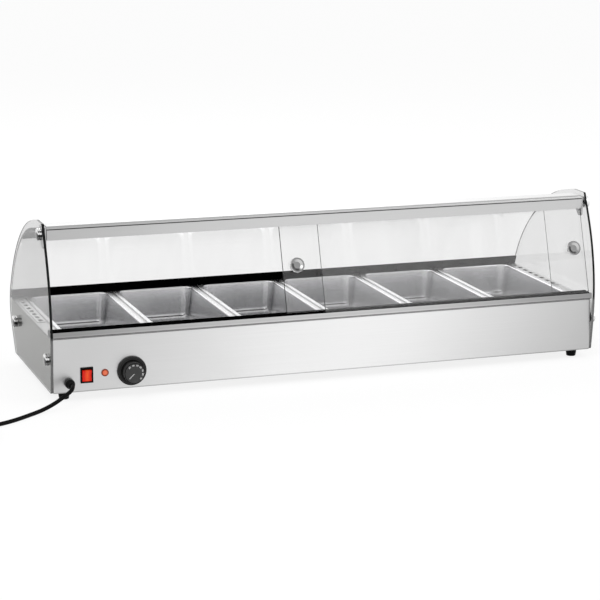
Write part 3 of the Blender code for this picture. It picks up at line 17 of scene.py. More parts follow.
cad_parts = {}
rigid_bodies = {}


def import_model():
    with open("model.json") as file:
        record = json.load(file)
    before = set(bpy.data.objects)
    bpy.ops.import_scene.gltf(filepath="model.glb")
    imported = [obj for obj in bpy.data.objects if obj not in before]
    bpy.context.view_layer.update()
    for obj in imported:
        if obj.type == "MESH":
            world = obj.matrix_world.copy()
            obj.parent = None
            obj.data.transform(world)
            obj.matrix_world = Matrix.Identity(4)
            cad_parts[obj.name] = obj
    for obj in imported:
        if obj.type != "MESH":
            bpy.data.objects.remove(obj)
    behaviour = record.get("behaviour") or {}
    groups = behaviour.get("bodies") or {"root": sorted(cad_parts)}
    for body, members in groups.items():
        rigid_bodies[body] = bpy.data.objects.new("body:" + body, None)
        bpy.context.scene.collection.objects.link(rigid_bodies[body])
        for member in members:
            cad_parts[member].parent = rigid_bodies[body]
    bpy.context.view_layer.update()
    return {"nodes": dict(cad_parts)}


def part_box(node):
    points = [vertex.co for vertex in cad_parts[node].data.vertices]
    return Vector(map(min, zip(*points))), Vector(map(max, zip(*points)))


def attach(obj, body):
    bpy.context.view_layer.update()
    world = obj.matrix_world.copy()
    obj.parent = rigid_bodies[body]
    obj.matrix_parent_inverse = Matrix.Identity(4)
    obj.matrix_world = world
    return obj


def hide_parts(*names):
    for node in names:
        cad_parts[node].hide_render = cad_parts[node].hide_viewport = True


bl_info = {
    "name": "Heated display case",
    "version": (1, 0, 0),
    "blender": (4, 5, 0),
    "location": "View3D > Sidebar > Display case",
    "description": "Builds and finishes the pieces of a heated display case",
    "category": "Object",
}

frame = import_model()

# What the frame says about the case
PANEL_LOW, PANEL_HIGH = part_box("front_panel")
CASE = Vector((0, PANEL_LOW.y, PANEL_LOW.z))
HALF = PANEL_HIGH.x
LEFT = -HALF
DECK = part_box("deck")[1].z - CASE.z
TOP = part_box("side_glass_left")[1].z - CASE.z
SILL_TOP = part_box("front_sill")[1].z - CASE.z
RAIL_LOW, RAIL_HIGH = (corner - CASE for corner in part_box("top_rail"))
RAIL_FRONT = RAIL_LOW.y
FIT = 0.0003

# Sections in Y and Z, as (Y, Z, radius) where a corner is rounded
SIDE_GLASS = (
    (0.001, 0.001, 0.003), (-0.0182, 0.1724, 0.420), (0.05002, TOP, 0.004),
    (0.09577, TOP, 0.0645), (0.2982, 0.2864, 0.343), (0.3983, 0.0931, 0.082),
    (0.339, 0.001, 0.003),
)
CUSTOMER_GLASS = ((0.08697, 0.309, 0), (0.314, 0.270, 0.290), (0.3841, 0.1132, 0))
REAR_CURVE = ((0.2982, 0.2864, 0), (0.3983, 0.0931, 0.082), (0.339, 0.001, 0), (0.33127, -0.011, 0))
RAIL_UNDERSIDE = TOP - 0.033
RAIL_SLOT_TOP = TOP - 0.021
RAIL_BACK = 0.08497
DOOR_LEAN = radians(17.6)
DOOR_UP = Vector((0, sin(DOOR_LEAN), cos(DOOR_LEAN)))
DOOR_OUT = Vector((0, -cos(DOOR_LEAN), sin(DOOR_LEAN)))
DOOR_FOOT = 0.0031
TRACK_FLOOR = DECK + 0.005
KNOB_HEIGHT = DECK + 0.101
KNOB_INSET = 0.028
TRACK_PITCH = 0.015
DOOR_SLOT = 0.0056
SHEET = 0.001
END_SHEET = 0.0012
REAR_INSET = 0.003
REAR_FLANGE = 0.012
GLASS_GAP = 0.001
BORE_RADIUS = 0.0045
SHANK_RADIUS = 0.004
VENTS, VENT_PITCH = 8, 0.028
VENT_HALF_WIDTH, VENT_HALF_LENGTH, VENT_ROUND = 0.0042, 0.0078, 0.0040
PIN_SPREAD = 0.019
BUMP_DEPTH = 0.0001


def standoff(name):
    """Where a stand-off's axis is, in Y and Z."""
    low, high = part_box(f"standoff_left_{name}")
    middle = (low + high) / 2 - CASE
    return name, middle.y, middle.z


STANDOFFS = [standoff(name) for name in ("top", "front", "rear")]


def on_panel(node, gap=0.0):
    """Where a control's axis meets the front panel, or a plane that far before it."""
    low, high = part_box(node)
    return Vector(((low.x + high.x) / 2, CASE.y - gap, (low.z + high.z) / 2))


GLAND_PLACE = on_panel("cord_gland")
SWITCH_PLACE = on_panel("switch_housing")
LAMP_PLACE = on_panel("lamp_housing")
DIAL_PLACE = on_panel("thermostat_knob", 0.0008)


def length(name, description, default):
    return FloatProperty(name=name, description=description, default=default, min=0.0,
                         precision=4, unit="LENGTH", subtype="DISTANCE")


def angle(name, description, default):
    return FloatProperty(name=name, description=description, default=default,
                         unit="ROTATION", subtype="ANGLE")


def colour(name, description, default):
    return FloatVectorProperty(name=name, description=description, default=default,
                               size=3, min=0.0, max=1.0, subtype="COLOR")


def share(name, description, default):
    return FloatProperty(name=name, description=description, default=default,
                         min=0.0, max=2.0, subtype="FACTOR")


class DISPLAYCASE_PG_stage(PropertyGroup):
    """The camera, the floor and the light."""
    camera_place: FloatVectorProperty(name="Camera", description="Where the camera stands",
                                      default=(-1.3788, -3.9699, 1.0772), subtype="TRANSLATION",
                                      unit="LENGTH")
    yaw: angle("Yaw", "How far the camera looks to the right of square", radians(19.046))
    pitch: angle("Pitch", "How far the camera looks down", radians(12.77))
    roll: angle("Roll", "How far the camera leans", radians(0.2))
    lens: FloatProperty(name="Lens", description="Focal length of the camera", default=124.68,
                        min=1.0, unit="CAMERA", subtype="DISTANCE_CAMERA")
    floor_tone: colour("Floor", "Colour of the floor", (0.92, 0.92, 0.92))
    sky: share("Sky light", "Strength of the room's even light", 0.62)
    key: FloatProperty(name="Key light", description="Power of the main lamp", default=46.0,
                       min=0.0, unit="POWER")
    fill: FloatProperty(name="Fill light", description="Power of the lamp on the other side",
                        default=22.0, min=0.0, unit="POWER")


class DISPLAYCASE_PG_finish(PropertyGroup):
    """The colours of the finishes."""
    steel: colour("Steel", "Colour of the housing's brushed steel", (0.80, 0.80, 0.80))
    end_steel: colour("End steel", "Colour of the housing's ends, in the glass's shade", (0.46, 0.46, 0.435))
    pan_steel: colour("Pan steel", "Colour of the food pans", (0.74, 0.74, 0.75))
    rail: colour("Rail", "Colour of the anodised top rail", (0.60, 0.60, 0.60))
    sill: colour("Sill", "Colour of the lip below the doors", (0.58, 0.58, 0.58))
    chrome: colour("Chrome", "Colour of the knobs and stand-offs", (0.86, 0.86, 0.86))
    glass: colour("Glass", "Tint of the customer glass", (0.885, 0.885, 0.885))
    door_glass: colour("Door glass", "Tint of the sliding doors", (0.985, 0.985, 0.985))
    side_glass: colour("Side glass", "Tint of the flat end glasses", (0.66, 0.66, 0.66))
    far_glass: colour("Far side glass", "Tint of the right end glass", (0.77, 0.77, 0.77))
    # The edge colours are painted light: black where an edge faces the operator, grey by the panel as a
    # painted reflection of the steel, paler where it faces elsewhere.
    edge_dark: colour("Edge, front", "Colour of glass edges that face the operator", (0.008, 0.009, 0.009))
    edge_pale: colour("Edge, elsewhere", "Colour of the side glasses' other edges", (0.30, 0.30, 0.30))
    edge_below: colour("Edge, below", "Colour of the side glasses' edges by the panel", (0.18, 0.18, 0.18))
    edge_curve: colour("Edge, curved", "Colour of the customer glass's edges", (0.12, 0.12, 0.12))
    black: colour("Black plastic", "Colour of the black plastic", (0.006, 0.006, 0.006))
    rubber: colour("Rubber", "Colour of the cord, plug and feet", (0.006, 0.006, 0.006))
    dial: colour("Dial", "Colour of the thermostat knob's face", (0.060, 0.060, 0.060))
    mark: colour("Marks", "Colour of the numbers on the dial", (0.90, 0.90, 0.90))
    rocker: colour("Rocker", "Colour of the lit switch", (0.50, 0.010, 0.004))
    lens: colour("Lamp lens", "Colour of the pilot lamp", (0.55, 0.10, 0.045))


class DISPLAYCASE_PG_glazing(PropertyGroup):
    """The glass and what holds it."""
    pane: length("Pane", "Thickness of the customer glass", 0.005)
    door_pane: length("Door pane", "Thickness of a sliding door", 0.004)
    polished: length("Polished edge", "Width of the chamfer on a pane's edge", 0.0006)
    knob_radius: length("Door knob", "Radius of a door knob", 0.015)
    cap_radius: length("Cap", "Radius of a stand-off's cap", 0.012)
    cap_height: length("Cap height", "Height of a stand-off's cap", 0.009)


class DISPLAYCASE_PG_pans(PropertyGroup):
    """One food pan."""
    width: length("Width", "Width of a pan over its rim", 0.176)
    depth: length("Length", "Length of a pan over its rim", 0.325)
    sheet: length("Sheet", "Thickness of a pan's steel", 0.0008)
    shoulder: length("Shoulder", "Radius between the rim and the wall", 0.003)
    floor_round: length("Floor round", "Radius between the wall and the floor", 0.012)
    corner_segments: IntProperty(name="Corner segments", description="Facets in each rounded corner",
                                 default=10, min=3, max=24)


class DISPLAYCASE_PG_controls(PropertyGroup):
    """The switch, the lamp and the thermostat."""
    skirt_radius: length("Skirt", "Radius of the thermostat knob's skirt", 0.029)
    hub_radius: length("Hub", "Radius of the thermostat knob's hub at its foot", 0.0225)
    face_radius: length("Face", "Radius of the thermostat knob's face", 0.0205)
    numeral: length("Numerals", "Height of the numbers on the dial", 0.0046)
    bezel: length("Bezel", "How far the switch's frame stands proud", 0.002)
    lamp_radius: length("Lamp", "Radius of the pilot lamp", 0.0072)


class DISPLAYCASE_PG_cord(PropertyGroup):
    """The power cord."""
    radius: length("Radius", "Half of the cord's diameter", 0.004)
    coil_radius: length("Coil", "Outer radius of the coil, at the cord's middle", 0.0526)
    coil_pitch: length("Coil pitch", "How far a turn lies from the next", 0.0086)
    layer_pitch: length("Layer pitch", "How far a layer lies above the other", 0.0088)


# Modelling


def deselect():
    if bpy.context.mode != "OBJECT":
        bpy.ops.object.mode_set(mode="OBJECT")
    bpy.ops.object.select_all(action="DESELECT")


def take(piece):
    deselect()
    piece.select_set(True)
    bpy.context.view_layer.objects.active = piece


def start(name, place):
    """A new piece in edit mode: one selected point to draw on from."""
    deselect()
    bpy.ops.mesh.primitive_plane_add(size=0.002, location=place)
    piece = bpy.context.object
    piece.name = name
    piece.data.name = name
    bpy.ops.object.mode_set(mode="EDIT")
    bpy.ops.mesh.select_mode(type="VERT")
    bpy.ops.mesh.merge(type="CENTER")
    return piece


def draw(points):
    """Extrudes the selected point along a line."""
    for before, after in zip(points, points[1:]):
        move = Vector(after) - Vector(before)
        bpy.ops.mesh.extrude_region_move(TRANSFORM_OT_translate={"value": move})
    bpy.ops.mesh.select_all(action="SELECT")


def pick(piece, test, kind="verts"):
    """Selects the verts, edges or faces that pass a test, and nothing else."""
    bpy.ops.mesh.select_mode(type={"verts": "VERT", "edges": "EDGE", "faces": "FACE"}[kind])
    bpy.ops.mesh.select_all(action="DESELECT")
    bm = bmesh.from_edit_mesh(piece.data)
    for item in getattr(bm, kind):
        if test(item):
            item.select_set(True)
    bm.select_flush_mode()
    bmesh.update_edit_mesh(piece.data)


def outward(merge=0.0):
    bpy.ops.mesh.select_all(action="SELECT")
    if merge:
        bpy.ops.mesh.remove_doubles(threshold=merge)
    bpy.ops.mesh.normals_make_consistent(inside=False)


def prism(name, points, reach):
    """A closed outline, filled and extruded by a vector."""
    piece = start(name, points[0])
    draw(points)
    pick(piece, lambda vert: len(vert.link_edges) == 1)
    bpy.ops.mesh.edge_face_add()
    bpy.ops.mesh.select_all(action="SELECT")
    bpy.ops.mesh.edge_face_add()
    bpy.ops.mesh.extrude_region_move(TRANSFORM_OT_translate={"value": reach})
    outward()
    return piece


def section(name, outline, low, high):
    """A section in Y and Z of the case, run along X."""
    return prism(name, [CASE + Vector((low, y, z)) for y, z in outline], Vector((high - low, 0, 0)))


def folded(name, outline, low, high, sheet):
    """A folded sheet whose line, in Y and Z, runs along X. Its thickness goes to the line's right."""
    points = [CASE + Vector((low, y, z)) for y, z in outline]
    piece = start(name, points[0])
    draw(points)
    bpy.ops.mesh.extrude_region_move(TRANSFORM_OT_translate={"value": (high - low, 0, 0)})
    outward()
    take(piece)
    middle = piece.data.polygons[len(piece.data.polygons) // 2]
    first, second = (Vector(point) for point in outline[len(outline) // 2 - 1:len(outline) // 2 + 1])
    along = second - first
    right = Vector((0, along.y, -along.x))
    thicken(piece, sheet, -1.0 if middle.normal.dot(right) < 0 else 1.0)
    return piece


def lathe(name, profile, centre, axis, steps=64):
    """A turned piece: (radius, height) points spun round an axis."""
    axis = Vector(axis).normalized()
    side = axis.orthogonal().normalized()
    points = [Vector(centre) + axis * height + side * radius for radius, height in profile]
    piece = start(name, points[0])
    draw(points)
    bpy.ops.mesh.spin(steps=steps, angle=2 * pi, center=centre, axis=axis)
    outward(merge=0.000002)
    return piece


def settle(piece):
    """Puts a piece's place and turn in its mesh."""
    take(piece)
    bpy.ops.object.transform_apply(location=True, rotation=True, scale=True)


def apply(piece, kind, **values):
    """Adds a modifier with its values set, and applies it."""
    step = piece.modifiers.new(kind.lower(), kind)
    for name, value in values.items():
        setattr(step, name, value)
    bpy.ops.object.modifier_apply(modifier=step.name)


def thicken(piece, sheet, offset):
    """Gives a sheet its thickness, on the side that the offset says."""
    take(piece)
    apply(piece, "SOLIDIFY", thickness=sheet, use_even_offset=True, offset=offset)


def cut(piece, cutter):
    """Takes another piece's form out of this one."""
    settle(piece)
    apply(piece, "BOOLEAN", object=cutter, operation="DIFFERENCE", solver="EXACT")
    bpy.data.objects.remove(cutter, do_unlink=True)


def complete(piece, *finishes, bevel=0.0, segments=2, limit=radians(35)):
    """Settles a piece, rounds its edges, evens its shading and gives it its finishes."""
    settle(piece)
    if bevel:
        apply(piece, "BEVEL", width=bevel, segments=segments, limit_method="ANGLE", angle_limit=limit)
    bpy.ops.object.shade_smooth_by_angle(angle=limit)
    apply(piece, "WEIGHTED_NORMAL", keep_sharp=True)
    piece.data.materials.clear()
    for finish in finishes:
        piece.data.materials.append(bpy.data.materials[finish])
    return piece


def joined(piece, others):
    """The piece with others joined to its mesh."""
    take(piece)
    for other in others:
        other.select_set(True)
    bpy.ops.object.join()
    return piece


def repeat(piece, name, move):
    """A copy with its own mesh, moved by a vector."""
    take(piece)
    bpy.ops.object.duplicate_move(TRANSFORM_OT_translate={"value": move})
    copy = bpy.context.object
    copy.name = name
    copy.data.name = name
    settle(copy)
    return copy


def hand_over(piece, body, slot, *nodes):
    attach(piece, body)
    if nodes:
        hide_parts(*nodes)


# Lines and sections


def rounded(corners, closed=True):
    """Points along a polygon whose corners, (a, b, radius), are rounded with arcs."""
    points = []
    for index, (a, b, radius) in enumerate(corners):
        here = Vector((a, b))
        if radius == 0 or (not closed and index in (0, len(corners) - 1)):
            points.append(here)
            continue
        before = (Vector(corners[index - 1][:2]) - here).normalized()
        after = (Vector(corners[(index + 1) % len(corners)][:2]) - here).normalized()
        opening = before.angle(after)
        reach = radius / tan(opening / 2)
        centre = here + (before + after).normalized() * radius / sin(opening / 2)
        first = here + before * reach - centre
        last = here + after * reach - centre
        turn = atan2(first.x * last.y - first.y * last.x, first.dot(last))
        steps = max(3, ceil(abs(turn) / radians(3 if radius > 0.05 else 15)))
        for step in range(steps + 1):
            heading = atan2(first.y, first.x) + turn * step / steps
            points.append(centre + Vector((cos(heading), sin(heading))) * radius)
    return points


def beside(points, distance):
    """A line moved sideways, to the right of its direction."""
    moved = []
    for index, point in enumerate(points):
        before = (point - points[max(index - 1, 0)]) if index else points[1] - point
        after = points[index + 1] - point if index < len(points) - 1 else before
        along = (before.normalized() + after.normalized()).normalized()
        side = Vector((along.y, -along.x))
        moved.append(point + side * distance / max(along.dot(after.normalized()), 0.2))
    return moved


def between(points, high, low):
    """The stretch of a falling line between two heights."""
    kept = []
    for first, second in zip(points, points[1:]):
        for height in (high, low):
            if (first.y - height) * (second.y - height) < 0:
                kept.append(first.lerp(second, (first.y - height) / (first.y - second.y)))
        if low < second.y < high:
            kept.append(second)
    return sorted(kept, key=lambda point: -point.y)


def door_line(track, z):
    """Where the middle of a door's pane is at a height. Track 0 is the outer one."""
    return DOOR_FOOT + track * TRACK_PITCH / cos(DOOR_LEAN) + (z - SILL_TOP) * tan(DOOR_LEAN)


def door_slot(track, mouth, end):
    half = DOOR_SLOT / 2 / cos(DOOR_LEAN)
    return [(door_line(track, mouth) - half, mouth), (door_line(track, end) - half, end),
            (door_line(track, end) + half, end), (door_line(track, mouth) + half, mouth)]


# Finishes


def new_group(name, inputs, outputs):
    """A shader node group with named sockets, and its input and output nodes."""
    tree = bpy.data.node_groups.new(name, "ShaderNodeTree")
    for label, kind, value in inputs:
        item = tree.interface.new_socket(name=label, in_out="INPUT", socket_type=kind)
        item.default_value = value
    for label, kind in outputs:
        tree.interface.new_socket(name=label, in_out="OUTPUT", socket_type=kind)
    return tree, tree.nodes.new("NodeGroupInput"), tree.nodes.new("NodeGroupOutput")


def feed(tree, socket, value):
    """Links another socket to this one, or sets its value."""
    if isinstance(value, bpy.types.NodeSocket):
        tree.links.new(value, socket)
    else:
        socket.default_value = value


def add(tree, kind, **values):
    """A node, with its properties set and its sockets fed by name."""
    made = tree.nodes.new("ShaderNode" + kind)
    for name, value in values.items():
        if hasattr(made, name):
            setattr(made, name, value)
        else:
            feed(tree, made.inputs[name.replace("_", " ")], value)
    return made


def ranged(tree, source, low, high, to_low, to_high):
    made = add(tree, "MapRange", Value=source, From_Min=low, From_Max=high, To_Min=to_low, To_Max=to_high)
    return made.outputs["Result"]


def maths(tree, operation, first, second):
    made = add(tree, "Math", operation=operation)
    for socket, value in zip(made.inputs, (first, second)):
        feed(tree, socket, value)
    return made.outputs["Value"]


def scaled(tree, vector, scale):
    made = add(tree, "VectorMath", operation="MULTIPLY")
    for socket, value in zip(made.inputs, (vector, scale)):
        feed(tree, socket, value)
    return made.outputs["Vector"]


def grain_group():
    """Fine lines left by brushing, and the cloudiness of a wiped surface."""
    tree, given, out = new_group(
        "brushed grain",
        [("Place", "NodeSocketVector", (0, 0, 0)), ("Stretch", "NodeSocketVector", (1, 1, 1)),
         ("Contrast", "NodeSocketFloat", 0.05), ("Roughness", "NodeSocketFloat", 0.3)],
        [("Tone", "NodeSocketFloat"), ("Roughness", "NodeSocketFloat"), ("Height", "NodeSocketFloat")])
    stretched = scaled(tree, given.outputs["Place"], given.outputs["Stretch"])
    lines = add(tree, "TexNoise", Vector=stretched, Scale=1.0, Detail=4.0, Roughness=0.6)
    cloud = add(tree, "TexNoise", Vector=given.outputs["Place"], Scale=7.0, Detail=2.0)
    both = maths(tree, "ADD", maths(tree, "MULTIPLY", lines.outputs["Fac"], 0.7),
                 maths(tree, "MULTIPLY", cloud.outputs["Fac"], 0.3))
    swing = maths(tree, "MULTIPLY", maths(tree, "SUBTRACT", both, 0.5), given.outputs["Contrast"])
    tree.links.new(maths(tree, "ADD", maths(tree, "MULTIPLY", swing, 4.0), 1.0), out.inputs["Tone"])
    rough = maths(tree, "ADD", given.outputs["Roughness"], maths(tree, "MULTIPLY", swing, 2.0))
    tree.links.new(rough, out.inputs["Roughness"])
    tree.links.new(lines.outputs["Fac"], out.inputs["Height"])


def speckle_group():
    """The fine texture of moulded plastic and rubber, with a little dust in it."""
    tree, given, out = new_group(
        "moulded speckle",
        [("Place", "NodeSocketVector", (0, 0, 0)), ("Size", "NodeSocketFloat", 900.0),
         ("Roughness", "NodeSocketFloat", 0.5)],
        [("Tone", "NodeSocketFloat"), ("Roughness", "NodeSocketFloat"), ("Height", "NodeSocketFloat")])
    place = given.outputs["Place"]
    fine = add(tree, "TexNoise", Vector=place, Scale=given.outputs["Size"], Detail=2.0)
    dust = add(tree, "TexNoise", Vector=place, Scale=40.0, Detail=3.0)
    tone = maths(tree, "ADD", ranged(tree, fine.outputs["Fac"], 0.3, 0.7, 0.9, 1.1),
                 ranged(tree, dust.outputs["Fac"], 0.55, 0.8, 0.0, 0.35))
    tree.links.new(tone, out.inputs["Tone"])
    dusty = ranged(tree, dust.outputs["Fac"], 0.3, 0.8, -0.04, 0.12)
    rough = maths(tree, "ADD", given.outputs["Roughness"], dusty)
    tree.links.new(rough, out.inputs["Roughness"])
    tree.links.new(fine.outputs["Fac"], out.inputs["Height"])


def toned_group():
    """A colour multiplied by a tone."""
    tree, given, out = new_group(
        "toned colour",
        [("Colour", "NodeSocketColor", (1, 1, 1, 1)), ("Tone", "NodeSocketFloat", 1.0)],
        [("Colour", "NodeSocketColor")])
    tree.links.new(scaled(tree, given.outputs["Colour"], given.outputs["Tone"]), out.inputs["Colour"])


def use(tree, name, **sockets):
    """A node group placed in a material, with its inputs linked or set by name."""
    made = tree.nodes.new("ShaderNodeGroup")
    made.node_tree = bpy.data.node_groups[name]
    for label, value in sockets.items():
        feed(tree, made.inputs[label], value)
    return made


def new_finish(name, colour, **values):
    """A material: its node tree, its shader and its Object coordinates."""
    finish = bpy.data.materials.new(name)
    finish.use_nodes = True
    tree = finish.node_tree
    shader = tree.nodes["Principled BSDF"]
    shader.inputs["Base Color"].default_value = (*colour, 1.0)
    for label, value in values.items():
        shader.inputs[label.replace("_", " ")].default_value = value
    return finish, tree, shader, add(tree, "TexCoord").outputs["Object"]


def bumped(tree, shader, height, strength):
    bump = add(tree, "Bump", Height=height, Strength=strength, Distance=BUMP_DEPTH)
    tree.links.new(bump.outputs["Normal"], shader.inputs["Normal"])


def banded(tree, kind, direction, stops, blend="B_SPLINE"):
    """A tone along a direction, by place or by which way a face looks, for painting light and shade. Stops
    are (reading, tone).
    """
    source = add(tree, "TexCoord").outputs["Object"]
    if kind == "facing":
        source = add(tree, "NewGeometry").outputs["Normal"]
    reading = add(tree, "VectorMath", operation="DOT_PRODUCT")
    tree.links.new(source, reading.inputs[0])
    reading.inputs[1].default_value = direction
    ramp = add(tree, "ValToRGB")
    ramp.color_ramp.interpolation = blend
    marks = ramp.color_ramp.elements
    while len(marks) < len(stops):
        marks.new(0.5)
    low, high, peak = stops[0][0], stops[-1][0], max(level for _, level in stops)
    for mark, (spot, level) in zip(marks, stops):
        mark.position = (spot - low) / (high - low)
        mark.color = (*[level / peak] * 3, 1.0)
    tree.links.new(ranged(tree, reading.outputs["Value"], low, high, 0.0, 1.0), ramp.inputs["Fac"])
    return maths(tree, "MULTIPLY", ramp.outputs["Color"], peak)


def with_bands(tree, tone, bands):
    for band in bands:
        tone = maths(tree, "MULTIPLY", tone, banded(tree, *band))
    return tone


def coat(tree, shader, colour, grain, tone):
    """Gives a shader a toned colour and the grain's roughness."""
    toned = use(tree, "toned colour", Colour=(*colour, 1.0), Tone=tone)
    tree.links.new(toned.outputs["Colour"], shader.inputs["Base Color"])
    if grain:
        tree.links.new(grain.outputs["Roughness"], shader.inputs["Roughness"])


def mixed(tree, share, first, second, output="Material Output"):
    """Mixes two shaders by a share, for the output node."""
    mix = add(tree, "MixShader")
    for source, socket in zip((share, first, second), mix.inputs):
        tree.links.new(source, socket)
    tree.links.new(mix.outputs["Shader"], tree.nodes[output].inputs["Surface"])


def metal(name, colour, roughness, stretch, contrast=0.05, bump=0.15, bands=()):
    """Brushed, drawn or polished metal, with painted light and shade: tones by place or by which way a face
    looks.
    """
    _, tree, shader, place = new_finish(name, colour, Metallic=1.0)
    grain = use(tree, "brushed grain", Place=place, Stretch=stretch, Contrast=contrast, Roughness=roughness)
    coat(tree, shader, colour, grain, with_bands(tree, grain.outputs["Tone"], bands))
    bumped(tree, shader, grain.outputs["Height"], bump)


def moulded(name, colour, roughness, size=900.0, bump=0.2, **values):
    """Moulded plastic, rubber or ceramic."""
    _, tree, shader, place = new_finish(name, colour, **values)
    speckle = use(tree, "moulded speckle", Place=place, Size=size, Roughness=roughness)
    coat(tree, shader, colour, speckle, speckle.outputs["Tone"])
    bumped(tree, shader, speckle.outputs["Height"], bump)


def clear(name, colour, ior, bands=()):
    """Clear glass with faint wiping streaks, and painted shade where bands are given. Light passes through it
    to what stands behind.
    """
    _, tree, shader, place = new_finish(name, colour, IOR=ior, Transmission_Weight=1.0, Roughness=0.0)
    streaks = add(tree, "TexNoise", Vector=scaled(tree, place, (26.0, 3.0, 1.5)), Scale=1.0, Detail=3.0)
    tone = ranged(tree, streaks.outputs["Fac"], 0.35, 0.75, 0.985, 1.015)
    coat(tree, shader, colour, None, with_bands(tree, tone, bands))
    path = add(tree, "LightPath")
    passing = maths(tree, "MAXIMUM", path.outputs["Is Shadow Ray"], path.outputs["Is Diffuse Ray"])
    through = add(tree, "BsdfTransparent", Color=(*[sqrt(part) for part in colour], 1.0))
    mixed(tree, passing, shader.outputs["BSDF"], through.outputs["BSDF"])


def blended(tree, share, first, second):
    """A mix of two colours."""
    mix = add(tree, "Mix", data_type="RGBA")
    for label, value in (("Factor", share), ("A", first), ("B", second)):
        feed(tree, mix.inputs[label], value)
    return [out for out in mix.outputs if out.type == "RGBA"][0]


def glass_edge(name, dark, pale, below):
    """A pane's polished edge, with painted light: painted black where it faces the operator above the deck, a
    painted reflection of the steel in grey below it, and paler where it faces elsewhere.
    """
    _, tree, shader, place = new_finish(name, dark, Specular_IOR_Level=0.08)
    facing = add(tree, "SeparateXYZ")
    tree.links.new(add(tree, "NewGeometry").outputs["True Normal"], facing.inputs[0])
    front = ranged(tree, facing.outputs["Y"], -0.5, -0.2, 1.0, 0.0)
    deck, fade = CASE.z + DECK, 0.004
    heights = banded(tree, "place", (0, 0, 1), ((deck - fade, 1.0), (deck + fade, 0.0)), "LINEAR")
    edge = blended(tree, front, (*pale, 1.0), blended(tree, heights, (*dark, 1.0), (*below, 1.0)))
    wear = add(tree, "TexNoise", Vector=place, Scale=120.0, Detail=2.0)
    tone = ranged(tree, wear.outputs["Fac"], 0.3, 0.7, 0.85, 1.15)
    toned = use(tree, "toned colour", Colour=edge, Tone=tone)
    tree.links.new(toned.outputs["Colour"], shader.inputs["Base Color"])
    tree.links.new(ranged(tree, wear.outputs["Fac"], 0.3, 0.7, 0.12, 0.28), shader.inputs["Roughness"])


def glowing(name, colour, centre, hot, radius, strength, shape=(1, 1, 1)):
    """Translucent plastic lit from behind, brightest in its middle."""
    _, tree, shader, place = new_finish(name, colour, Emission_Strength=strength, Specular_IOR_Level=0.2)
    spot = add(tree, "VectorMath", operation="DISTANCE")
    tree.links.new(scaled(tree, place, shape), spot.inputs[0])
    spot.inputs[1].default_value = [part * by for part, by in zip(centre, shape)]
    ramp = add(tree, "ValToRGB")
    ramp.color_ramp.elements[0].color = (*hot, 1.0)
    ramp.color_ramp.elements[1].color = (*colour, 1.0)
    tree.links.new(ranged(tree, spot.outputs["Value"], 0.0, radius, 0.0, 1.0), ramp.inputs["Fac"])
    tree.links.new(ramp.outputs["Color"], shader.inputs["Emission Color"])
    speckle = use(tree, "moulded speckle", Place=place, Size=500.0, Roughness=0.22)
    coat(tree, shader, colour, speckle, speckle.outputs["Tone"])


